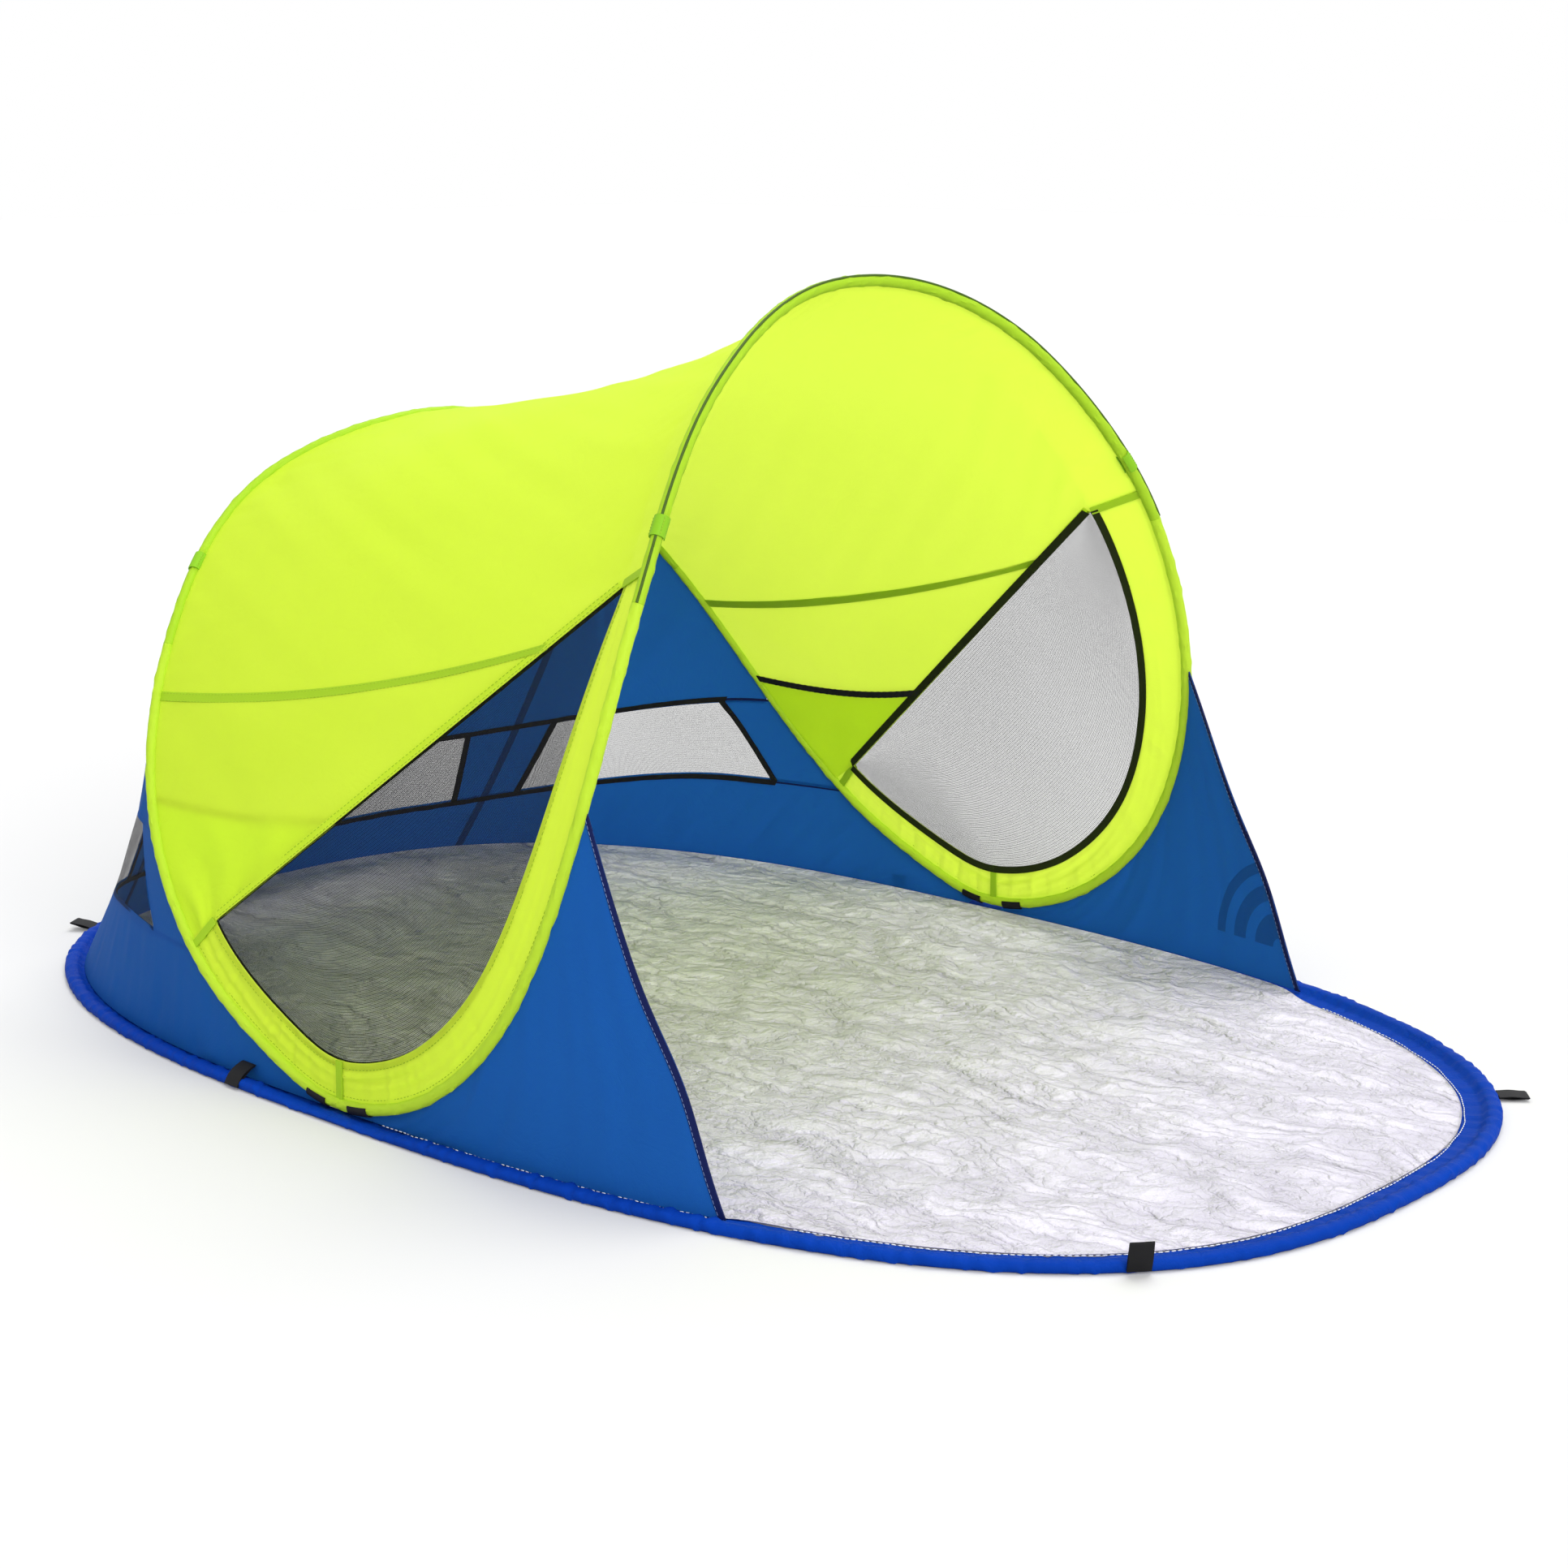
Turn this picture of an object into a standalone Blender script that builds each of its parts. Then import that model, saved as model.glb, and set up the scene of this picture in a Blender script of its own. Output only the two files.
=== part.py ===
"""Self-opening beach tent at its real size, in metres, with +Z up.

The origin lies on the ground at the middle of the floor ring. +X points to the open front,
and the tent is the same on both sides of the XZ plane. Two sprung wire rings hold it: one
lies in the hem of the floor, and one bends into the front and the rear arch. Both rings
hinge along the foot line, which joins the two side feet along Y, so the tent closes like a
book. All sizes and shapes are worked out from the middle of the foot line.
"""
import bpy
import bmesh
import math
import numpy as np
from mathutils import Vector

# Driving sizes of the floor ring
floor_front_reach = 1.022
floor_rear_reach = 0.928
floor_half_width = 0.610
floor_widest_setback = 0.043
floor_corner_power = 2.64

# Driving sizes of the canopy ring
foot_inset = 0.022
front_arch_height = 0.914
front_arch_reach = 0.349
front_arch_power = 2.1
rear_arch_height = 0.717
rear_arch_reach = 0.546
rear_arch_power = 1.94
roof_sag = 0.04
roof_skew = 0.6
wall_sag = 0.045

# How far each arch leans out, foot to crown in even steps, as shares of its reach
front_lean_shares = (0.0, 0.453, 0.804, 0.987, 1.0, 0.853, 0.729)
rear_lean_shares = (0.0, 0.204, 0.493, 0.731, 0.893, 1.0, 0.905)

# Wires, ferrules and sleeves
wire_diameter = 0.004
wire_slack = 0.0035
ferrule_wall = 0.0009
ferrule_length = 0.03
arch_sleeve_diameter = 0.014
hem_width = 0.045
hem_thickness = 0.008
hem_channel_inset = 0.011
piping_diameter = 0.003

# Cloth, mesh, tapes and seams
cloth = 0.0015
wall_inset = 0.026
seam_gap = 0.0003
cloth_seam_gap = 0.0012
cloth_edge_gap = 0.0011
band_end_gap = 0.0024
panel_end_gap = 0.006
pocket_end_gap = 0.02
side_band_foot_width = 0.044
side_band_top_width = 0.064
window_binding_width = 0.009
wing_binding_width = 0.018
pocket_elastic_width = 0.009
tab_length = 0.026
tab_wall = 0.0016
tie_wall = 0.0015
tie_reach = 0.052
tie_setback = 0.02

# Side windows, side seams and pockets
band_tail_height = 0.142
seam_front_height = 0.538
seam_rear_height = 0.405
seam_dip = 0.02
pocket_front_height = 0.325
pocket_rear_height = 0.305
band_top_height = 0.64
side_middle_reach = 0.03
side_middle_height = 0.34
side_taper_share = 0.17

# Back windows: heights of their row at the middle of the wall and at the rear arch
row_bottom_height = 0.088
row_top_height = 0.202
row_bottom_end_height = 0.138
row_top_end_height = 0.256
wall_corner_width = 0.006

# Front wings
wing_top_height = 0.41
wing_foot_reach = 0.118
wing_corner_reach = 0.6
wing_edge_hollow = 0.004

# Peg loops
loop_length = 0.034
loop_width = 0.025
loop_thickness = 0.003
loop_eye = 0.001
loop_joint_clearance = 0.0004
loop_sewn_length = 0.009

# Shares of the way along an arch leg, foot to crown
leg_top_share = 2 / 3
cloth_start_share = 0.14
wall_start_share = 0.2
front_tab_share = 0.7
rear_tab_share = 0.748

# Back windows: shares of the way round from the crown to the foot, at the row's top and bottom
centre_window_top_share = 0.175
centre_window_bottom_share = 0.195
side_window_start_top_share = 0.275
side_window_start_bottom_share = 0.27
side_window_end_top_share = 0.45
side_window_end_bottom_share = 0.56
row_rise_start_share = 0.15
row_rise_end_share = 0.5

# Peg loops: steps of the hem round the floor ring from +X, and degrees above the ground
loop_places = {
    "front_left": (3, 0),
    "front_right": (-3, 75),
    "middle_left": (15.3, 120),
    "middle_right": (-15.3, 120),
    "rear_left": (23, 0),
    "rear_right": (-23, 12),
}

# Share of a side window's length left off at each pointed end of its mesh
mesh_end_share = 0.02

# Spread of the webbing shells round a sleeve
shell_spread = math.radians(150)

# Counts
band_steps = 16
panel_rows = 5
seam_steps = 9
wing_steps = 8
wing_rows = 6
roof_rows = 13
window_steps = 6
arch_edge_steps = 7
lower_wall_steps = 18
upper_wall_steps = 30
arch_steps = 14
leg_steps = 18
hem_steps = 26
tube_sides = 8
wire_sides = 5
shell_sides = 6

# Derived sizes
foot_half_spacing = floor_half_width - foot_inset
sleeve_radius = arch_sleeve_diameter / 2
wire_radius = wire_diameter / 2
bore_radius = wire_radius + wire_slack / 2
edge_offset = sleeve_radius + cloth_edge_gap
foot_height = hem_thickness + seam_gap + tie_wall + seam_gap + sleeve_radius
hem_seat = hem_thickness + seam_gap + cloth / 2
hinge_height = hem_thickness
roof_peak = (roof_skew / (1 + roof_skew)) ** roof_skew / (1 + roof_skew)
foot_line_setback = (floor_front_reach - floor_rear_reach) / 2


def material(name, colour, roughness, metallic=0.0):
    """A Principled BSDF material with one colour."""
    made = bpy.data.materials.new(name)
    made.use_nodes = True
    shader = made.node_tree.nodes["Principled BSDF"]
    shader.inputs["Base Color"].default_value = (*colour, 1.0)
    shader.inputs["Roughness"].default_value = roughness
    shader.inputs["Metallic"].default_value = metallic
    return made


LIME = (0.58, 0.96, 0.03)
BLUE = (0.012, 0.105, 0.35)
HEM_BLUE = (0.006, 0.052, 0.42)
NAVY = (0.008, 0.012, 0.08)
BLACK = (0.01, 0.01, 0.012)
SILVER = (0.62, 0.62, 0.64)
STEEL = (0.5, 0.5, 0.52)


def solid(name, points, faces, colour, roughness=0.7, metallic=0.0):
    """One named object from points and faces, with its faces turned outward."""
    mesh = bpy.data.meshes.new(name)
    mesh.from_pydata([tuple(p) for p in np.asarray(points, float)], [], faces)
    work = bmesh.new()
    work.from_mesh(mesh)
    bmesh.ops.recalc_face_normals(work, faces=work.faces)
    if work.calc_volume(signed=True) < 0:
        bmesh.ops.reverse_faces(work, faces=work.faces)
    work.to_mesh(mesh)
    work.free()
    mesh.shade_smooth()
    mesh.set_sharp_from_angle(angle=math.radians(40))
    made = bpy.data.objects.new(name, mesh)
    made.data.materials.append(material(name, colour, roughness, metallic))
    made.location.x = -foot_line_setback
    bpy.context.collection.objects.link(made)
    return made


def unit(vectors):
    """Vectors scaled to length one."""
    return vectors / np.linalg.norm(vectors, axis=-1, keepdims=True)


def mirrored(points, side):
    """Points of the +Y side, taken to the side given as 1 or -1."""
    return np.asarray(points) * np.array([1, side, 1])


def smooth_through(shares, t):
    """A smooth curve through evenly spaced values, level at its last one."""
    values = np.array(shares)
    last = len(values) - 1
    slopes = np.gradient(values)
    slopes[last] = 0
    place = np.clip(np.asarray(t, float), 0, 1) * last
    left = np.minimum(place.astype(int), last - 1)
    s = place - left
    start = values[left] * (1 + 2 * s) * (1 - s) ** 2 + slopes[left] * s * (1 - s) ** 2
    end = values[left + 1] * s**2 * (3 - 2 * s) + slopes[left + 1] * s**2 * (s - 1)
    return start + end


def arch_point(which, t):
    """Centre line of the +Y half of an arch: t is 0 at the foot and 1 at the crown."""
    front = which == "front"
    power = front_arch_power if front else rear_arch_power
    height = front_arch_height if front else rear_arch_height
    shares = front_lean_shares if front else rear_lean_shares
    reach = front_arch_reach if front else -rear_arch_reach
    angle = math.pi / 2 * np.asarray(t, float) ** 2
    x = reach * smooth_through(shares, t)
    y = foot_half_spacing * np.abs(np.cos(angle)) ** (2 / power)
    z = foot_height + (height - foot_height) * np.sin(angle) ** (2 / power)
    return np.stack([x, y, z], axis=-1)


def arch_line(which, around):
    """Centre line of a whole arch: around runs from -1 over the crown at 0 to 1 at the +Y foot."""
    around = np.asarray(around, float)
    points = arch_point(which, 1 - np.abs(around))
    points[..., 1] *= np.where(around < 0, -1, 1)
    return points


def arch_share_at_height(which, height):
    """Share of the way up an arch at which its centre line has this height."""
    low, high = 0.0, 1.0
    for _ in range(40):
        middle = (low + high) / 2
        if arch_point(which, middle)[2] < height:
            low = middle
        else:
            high = middle
    return low


def ring_radius(angle):
    """Distance from the origin to the outer edge of the floor ring at an angle from +X."""
    low = np.zeros_like(angle)
    high = low + floor_front_reach + floor_rear_reach
    for _ in range(50):
        middle = (low + high) / 2
        x = middle * np.cos(angle) + floor_widest_setback
        half = np.where(x > 0, floor_front_reach, floor_rear_reach)
        half = half + np.where(x > 0, floor_widest_setback, -floor_widest_setback)
        y = middle * np.sin(angle)
        size = np.abs(x / half) ** floor_corner_power
        size = size + np.abs(y / floor_half_width) ** floor_corner_power
        high = np.where(size > 1, middle, high)
        low = np.where(size > 1, low, middle)
    return (low + high) / 2


def ring_point(angle, inset, height):
    """Point this far in from the floor ring's outer edge, with its outward direction."""
    angle = np.asarray(angle, float)
    small = math.radians(0.05)
    ends = []
    for turn in (-small, small):
        radius = ring_radius(angle + turn)
        ends.append(np.stack([radius * np.cos(angle + turn), radius * np.sin(angle + turn)], -1))
    along = unit(ends[1] - ends[0])
    outward = np.stack([along[..., 1], -along[..., 0], 0 * angle], -1)
    edge = (ends[0] + ends[1]) / 2
    edge = np.stack([edge[..., 0], edge[..., 1], 0 * angle + height], -1)
    return edge - outward * inset, outward


def circle(radius, sides, first=0.0, sweep=2 * math.pi):
    """Points of a circle as (outward, sideways) pairs."""
    angles = first + sweep * np.arange(sides) / sides
    return np.stack([radius * np.cos(angles), radius * np.sin(angles)], -1)


def section_frames(points, outward):
    """Outward and sideways unit vectors, square to a polyline at each of its points."""
    along = unit(np.gradient(points, axis=0))
    sideways = unit(np.cross(along, outward))
    return np.cross(sideways, along), sideways


def tube_faces(count, sides, hollow):
    """Faces of a swept section: its walls, and flat ends that leave a bore open."""
    faces = []
    layers = (0, count * sides) if hollow else (0,)
    for base in layers:
        for i in range(count - 1):
            for j in range(sides):
                k = (j + 1) % sides
                a, b = base + i * sides, base + (i + 1) * sides
                faces.append((a + j, a + k, b + k, b + j))
    for i in (0, count - 1):
        outer = i * sides
        if not hollow:
            faces.append(tuple(range(outer, outer + sides)))
            continue
        inner = (count + i) * sides
        for j in range(sides):
            k = (j + 1) % sides
            faces.append((outer + j, outer + k, inner + k, inner + j))
    return faces


def swept(name, points, out, side, section, colour, bore=None, **look):
    """A section carried along a polyline in the given frames, with a bore where one is given."""
    loops = [section] if bore is None else [section, bore]
    layers = []
    for loop in loops:
        layer = points[:, None] + out[:, None] * loop[None, :, :1] + side[:, None] * loop[None, :, 1:]
        layers.append(layer.reshape(-1, 3))
    faces = tube_faces(len(points), len(section), bore is not None)
    return solid(name, np.concatenate(layers), faces, colour, **look)


def sheet(name, grid, colour, thickness=cloth, shift=0.0, kept=None, **look):
    """A closed sheet of even thickness round a grid of points, or beside it by a shift.

    Where kept is given, it tells for each cell of the grid whether the sheet covers it.
    """
    grid = np.asarray(grid, float)
    rows, columns = grid.shape[:2]
    kept = np.ones((rows - 1, columns - 1), bool) if kept is None else kept
    normal = unit(np.cross(np.gradient(grid, axis=0), np.gradient(grid, axis=1)))
    top = grid + normal * (shift + thickness / 2)
    bottom = grid + normal * (shift - thickness / 2)
    half = rows * columns
    cells = []
    for i, j in zip(*np.nonzero(kept)):
        corner = int(i * columns + j)
        cells.append((corner, corner + columns, corner + columns + 1, corner + 1))
    edges = {edge for cell in cells for edge in zip(cell, cell[1:] + cell[:1])}
    rim = [(a, b) for a, b in sorted(edges) if (b, a) not in edges]
    faces = [cell[:3] for cell in cells] + [(cell[2], cell[3], cell[0]) for cell in cells]
    faces += [tuple(v + half for v in reversed(face)) for face in faces]
    faces += [(b, a, a + half, b + half) for a, b in rim]
    used = sorted({v for face in faces for v in face})
    place = {v: k for k, v in enumerate(used)}
    points = np.concatenate([top.reshape(-1, 3), bottom.reshape(-1, 3)])[used]
    return solid(name, points, [tuple(place[v] for v in face) for face in faces], colour, **look)


def between(start, end, t):
    """Points part of the way from start to end."""
    return start + (end - start) * np.asarray(t, float)[..., None]


def clearance_along(direction, along, clearance):
    """Length to leave along a direction so that a line keeps this clearance to a curve that it meets."""
    return clearance / np.linalg.norm(np.cross(unit(direction), unit(along)), axis=-1)


def arch_direction(which, t):
    """Direction of an arch's centre line on the +Y side."""
    small = 0.002
    return arch_point(which, np.minimum(t + small, 1)) - arch_point(which, np.minimum(t, 1 - small) - small)


def rows_between(start, end, count, before=0.0, after=0.0):
    """Rows of points from start to end, held off both ends by real lengths."""
    length = np.linalg.norm(end - start, axis=-1)
    shares = np.linspace(0, 1, count)
    return np.stack([between(start, end, (before + (length - before - after) * s) / length) for s in shares])


def line_lengths(points):
    """Length along a polyline at each of its points."""
    steps = np.linalg.norm(np.diff(points, axis=0), axis=1)
    return np.concatenate([[0], np.cumsum(steps)])


def polyline_at(points, distance):
    """Points at these distances along a polyline."""
    lengths = line_lengths(points)
    return np.stack([np.interp(distance, lengths, axis) for axis in points.T], -1)


def polyline_length(points):
    """Length of a polyline."""
    return line_lengths(points)[-1]


# Floor: hem, wire and sheet, each in a front and a rear half that meet at the foot line
hem_outline_shares = (
    (0.0, 0.5), (0.07, 0.06), (0.3, 0.0), (1.0, 0.0),
    (1.0, 0.4), (0.66, 1.0), (0.25, 1.0), (0.07, 0.92),
)


def half_ring_angles(which):
    """Angles from the -Y foot to the +Y foot, round the front or the rear of the floor."""
    start = -math.pi / 2 if which == "front" else math.pi * 3 / 2
    return np.linspace(start, math.pi / 2, hem_steps + 1)


def cut_at_fold(points, which):
    """Half-ring points whose ends stop just short of the fold line."""
    points = np.array(points)
    points[[0, -1], 0] = seam_gap / 2 if which == "front" else -seam_gap / 2
    return points


def make_floor_half(which):
    """Hem sleeve, wire and floor sheet of the front or the rear half."""
    angles = half_ring_angles(which)
    centre, outward = ring_point(angles, hem_channel_inset, hem_thickness / 2)
    centre = cut_at_fold(centre, which)
    outward[[0, -1]] = unit(outward[[0, -1]] * [0, 1, 0])
    up = np.zeros_like(outward) + [0, 0, 1]
    shares = np.array(hem_outline_shares)
    section = np.stack([hem_channel_inset - shares[:, 0] * hem_width, (shares[:, 1] - 0.5) * hem_thickness], -1)
    bore = circle(bore_radius, tube_sides) * [1, -1]
    swept(f"hem_{which}", centre, outward, up, section, HEM_BLUE, bore)
    swept(f"floor_wire_{which}", centre, outward, up, circle(wire_radius, wire_sides), STEEL,
          roughness=0.3, metallic=1.0)
    edge, _ = ring_point(angles, hem_width + seam_gap, 0)
    edge = cut_at_fold(edge, which)
    count = len(edge)
    faces = [tuple(range(count)), tuple(range(2 * count - 1, count - 1, -1))]
    faces += [(j, (j + 1) % count, count + (j + 1) % count, count + j) for j in range(count)]
    solid(f"floor_sheet_{which}", np.concatenate([edge, edge + [0, 0, cloth]]), faces, SILVER, roughness=0.35)


# Canopy ring: two crowns and four legs, each a sleeve with its wire
def arch_outward(points):
    """Directions that point out of the tent, square to its long axis."""
    return unit(points * [0, 1 / foot_half_spacing**2, 1 / front_arch_height**2])


def arch_stations():
    """Stations round a whole arch, from the -Y foot at -1 over the crown to the +Y foot at 1."""
    crown = np.linspace(0, 1 - leg_top_share, arch_steps + 1)
    half = np.concatenate([crown[:-1], np.linspace(1 - leg_top_share, 1, leg_steps + 1)])
    return np.concatenate([-half[:0:-1], half])


def arch_frames(which):
    """Points of a whole arch with their outward, sideways and lengthwise unit vectors."""
    points = arch_line(which, arch_stations())
    along = unit(np.gradient(points, axis=0))
    sign = 1 if which == "front" else -1
    along[0] = [sign, 0, 0]
    along[-1] = [-sign, 0, 0]
    side = unit(np.cross(along, arch_outward(points)))
    return points, np.cross(side, along), side, along


def ring_pieces(which):
    """The stretches of one arch: its name, and where it starts and ends among the stations."""
    last = 2 * (arch_steps + leg_steps)
    return {
        f"{which}_leg_right": (0, leg_steps),
        f"{which}_crown": (leg_steps, last - leg_steps),
        f"{which}_leg_left": (last - leg_steps, last),
    }


def piece_frames(which, piece):
    """Frames along one stretch of an arch, with ends half a seam gap short."""
    start, end = ring_pieces(which)[piece]
    points, out, side, along = (part[start:end + 1].copy() for part in arch_frames(which))
    points[0] += along[0] * seam_gap / 2
    points[-1] -= along[-1] * seam_gap / 2
    return points, out, side


def make_canopy_ring(which):
    """Sleeves of the crown and the two legs of one arch, with the wire of its crown."""
    for piece in ring_pieces(which):
        frames = piece_frames(which, piece)
        swept(f"{piece}_sleeve", *frames, circle(sleeve_radius, tube_sides), LIME, circle(bore_radius, tube_sides))
    frames = piece_frames(which, f"{which}_crown")
    swept(f"{which}_crown_wire", *frames, circle(wire_radius, wire_sides), STEEL, roughness=0.3, metallic=1.0)


def make_piping():
    """Thin dark piping along the open edge of the front crown."""
    points, out, side = piece_frames("front", "front_crown")
    points = points + side * np.sign(side[:, :1]) * (sleeve_radius + seam_gap + piping_diameter / 2)
    swept("front_crown_piping", points, out, side, circle(piping_diameter / 2, wire_sides), NAVY)


def shell_section(wall, middle):
    """Half shell round the sleeve: an arc out and another back, facing the angle given."""
    turns = middle + np.linspace(-shell_spread / 2, shell_spread / 2, shell_sides)
    ring = np.stack([np.cos(turns), np.sin(turns)], -1)
    inner = sleeve_radius + seam_gap
    return np.concatenate([ring * (inner + wall), ring[::-1] * inner])


def swept_pair(name, points, out, side, section, colour, **look):
    """A swept section on the left, and its mirror image on the right."""
    for label, mirror in (("left", 1), ("right", -1)):
        frames = mirrored(points, mirror), mirrored(out, mirror), mirrored(side, mirror)
        swept(f"{name}_{label}", *frames, section, colour, **look)


def make_foot_wires():
    """Springy wires that run down the front leg, round the foot and up the rear leg."""
    parts = []
    for which in ("front", "rear"):
        start, end = ring_pieces(which)[f"{which}_leg_left"]
        points, out, side, along = (part[start:end + 1].copy() for part in arch_frames(which))
        points[0] += along[0] * seam_gap / 2
        parts.append((points, out, side))
    front, rear = parts
    joined = [np.concatenate([front[k], rear[k][-2::-1] * sign]) for k, sign in ((0, 1), (1, 1), (2, -1))]
    swept_pair("foot_wire", *joined, circle(wire_radius, wire_sides), STEEL, roughness=0.3, metallic=1.0)


def make_tabs(which, share):
    """Webbing tabs over the arch sleeve, one on each side."""
    line = arch_line(which, arch_stations()[arch_steps + leg_steps:])
    nearest = int(np.argmin(np.linalg.norm(line - arch_point(which, share), axis=1)))
    centre = (line[nearest - 1] + line[nearest]) / 2
    half = unit(line[nearest] - line[nearest - 1]) * tab_length / 2
    points = np.stack([centre - half, centre + half])
    out, side = section_frames(points, arch_outward(points))
    swept_pair(f"{which}_tab", points, out, side, shell_section(tab_wall, 0), LIME)


def make_ties(which):
    """Webbing under each foot that ties the canopy ring down on the hem."""
    line = arch_point(which, np.linspace(0, leg_top_share, leg_steps * 20))
    points = polyline_at(line, np.linspace(tie_setback, tie_reach, 4))
    out, side = section_frames(points, np.zeros_like(points) + [0, 0, 1])
    swept_pair(f"{which}_tie", points, out, side, shell_section(tie_wall, math.pi), BLACK)


def make_ferrules():
    """Crimped ferrules that close the two wire loops, inside their sleeves."""
    inner = wire_radius + seam_gap
    ring = circle(inner + ferrule_wall, tube_sides)
    line = piece_frames("rear", "rear_crown")[0]
    spots = {"canopy_ferrule": (line[arch_steps], line[arch_steps + 1])}
    centre, _ = ring_point(half_ring_angles("rear"), hem_channel_inset, hem_thickness / 2)
    middle = len(centre) // 2
    spots["floor_ferrule"] = (centre[middle], centre[middle + 1])
    for name, (start, end) in spots.items():
        along = unit(end - start)
        half = along * ferrule_length / 2
        points = np.stack([(start + end) / 2 - half, (start + end) / 2 + half])
        out, side = section_frames(points, np.zeros_like(points) + [0, 0, 1])
        swept(name, points, out, side, ring, STEEL, circle(inner, tube_sides), roughness=0.35, metallic=1.0)


# Canopy cloth
def in_cloth_direction(points):
    """Directions in the side cloth, square to the canopy ring and away from it."""
    along = unit(np.gradient(points, axis=0))
    ahead = side_middle_reach - points[..., 0]
    rise = side_middle_height - points[..., 2]
    toward = np.stack([ahead, -side_taper_share * np.abs(ahead), rise], -1)
    toward = toward - along * (toward * along).sum(-1, keepdims=True)
    return unit(toward)


def band_edges(which, top_share):
    """Outer and inner edge of the lime band along one arch, from the foot up."""
    line = arch_point(which, np.linspace(0, top_share, band_steps + 1))
    inward = in_cloth_direction(line)
    inward[0] = unit(inward[0] * [0, 1, 1])
    outer = line + inward * edge_offset
    top_width = side_band_top_width if which == "front" else side_band_foot_width
    widths = np.linspace(side_band_foot_width, top_width, band_steps + 1)[:, None]
    inner = outer + inward * widths
    start = seam_gap / 2 if which == "front" else -seam_gap / 2
    outer[0, 0] = start
    inner[0, 0] = start
    return outer, inner


def side_outline():
    """The edges that the side pieces share: both bands, the window's long edge and the rear hoop."""
    tail_share = arch_share_at_height("rear", band_tail_height)
    front = band_edges("front", arch_share_at_height("front", band_top_height))
    rear = band_edges("rear", tail_share)
    tip, tail = front[1][-1], rear[1][-1]
    seam_share = (tip[2] - seam_front_height) / (tip[2] - tail[2])
    hoop_share = arch_share_at_height("rear", seam_rear_height)
    hoop = arch_point("rear", np.linspace(hoop_share, tail_share, 2 * leg_steps))
    hoop = hoop + in_cloth_direction(hoop) * edge_offset
    return {"front": front, "rear": rear, "tip": tip, "tail": tail, "hoop": hoop,
            "seam": between(tip, tail, seam_share)}


def seam_drop(share):
    """How far the side seam hangs below a straight line, from the window to the rear hoop."""
    return seam_dip * 4 * share * (1 - share)


def side_panel_point(outline, across, down):
    """Point of the lower side panel: across from the window to the rear hoop, down from the seam."""
    hoop = outline["hoop"]
    rear = polyline_at(hoop, np.asarray(down) * polyline_length(hoop))
    point = between(between(outline["seam"], outline["tail"], down), rear, across)
    point[..., 2] -= seam_drop(across) * (1 - down) ** 2
    return point


def side_mesh_grid(outline):
    """Middle surface of the side window's mesh, from its long edge to the band."""
    edge = np.concatenate([outline["front"][1][::-1], outline["rear"][1][1:]])
    reach = line_lengths(edge) / polyline_length(edge)
    reach[[0, -1]] = mesh_end_share, 1 - mesh_end_share
    chord = between(outline["tip"], outline["tail"], reach)
    border = polyline_at(edge, reach * polyline_length(edge))
    return rows_between(chord, border, 4, cloth_seam_gap, 2 * seam_gap)


def make_sides():
    """Lime bands, mesh windows, lower side panels and pockets of both sides."""
    outline = side_outline()
    columns = np.linspace(0, 1, seam_steps + 1)
    down, across = np.meshgrid(np.linspace(0, 1, panel_rows + 1), columns, indexing="ij")
    edge = np.linalg.norm(outline["tail"] - outline["seam"])
    last = 1 - panel_end_gap / edge
    pocket_last = 1 - pocket_end_gap / edge
    panel = side_panel_point(outline, across, down * last)
    length = np.linalg.norm(outline["hoop"][-1] - outline["tail"])
    top_left = (outline["seam"][2] - pocket_front_height) / (outline["seam"][2] - outline["tail"][2])
    top_right = (outline["hoop"][0][2] - pocket_rear_height) / (outline["hoop"][0][2] - outline["hoop"][-1][2])
    step = pocket_elastic_width / (outline["seam"][2] - outline["tail"][2])
    top = top_left + (top_right - top_left) * across
    narrow = np.array([[0.0], [1.0]])
    elastic = side_panel_point(outline, across[:2], top[:2] + (step - seam_gap / length) * narrow)
    pocket = side_panel_point(outline, across, top + step + (pocket_last - step - top) * down)
    for label, mirror in (("left", 1), ("right", -1)):
        for which in ("front", "rear"):
            band = rows_between(*outline[which], 3)
            if which == "rear":
                band[:, -1] += unit(band[:, -2] - band[:, -1]) * band_end_gap
            sheet(f"{which}_band_{label}", mirrored(band, mirror), LIME)
        sheet(f"side_mesh_{label}", mirrored(side_mesh_grid(outline), mirror), BLACK)
        sheet(f"side_panel_{label}", mirrored(panel, mirror), LIME)
        inward = (cloth + 2 * seam_gap) * mirror
        sheet(f"side_pocket_{label}", mirrored(pocket, mirror), LIME, shift=inward)
        sheet(f"pocket_elastic_{label}", mirrored(elastic, mirror), BLACK, shift=inward)


def roof_point(share, t):
    """Roof surface on the +Y side: share runs from the front arch to the rear one, t up from the foot."""
    start, end = arch_point("front", t), arch_point("rear", t)
    length = np.linalg.norm(end - start, axis=-1)
    before = clearance_along(end - start, arch_direction("front", t), edge_offset)
    after = clearance_along(end - start, arch_direction("rear", t), edge_offset)
    u = (before + (length - before - after) * share) / length
    point = between(start, end, u)
    return point - arch_outward(point) * (roof_sag * u**roof_skew * (1 - u) / roof_peak)[..., None]


def roof_place(point):
    """Share and height share at which the roof surface comes nearest to points."""
    share = np.full(len(point), 0.5)
    t = np.full(len(point), 0.7)
    for _ in range(30):
        low, high = np.zeros(len(point)), np.ones(len(point))
        for _ in range(30):
            t = (low + high) / 2
            below = roof_point(share, t)[:, 2] < point[:, 2]
            low = np.where(below, t, low)
            high = np.where(below, high, t)
        front, rear = roof_point(0 * share, t)[:, 0], roof_point(0 * share + 1, t)[:, 0]
        share = np.clip((point[:, 0] - front) / (rear - front), 0, 1)
    return share, t


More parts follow.
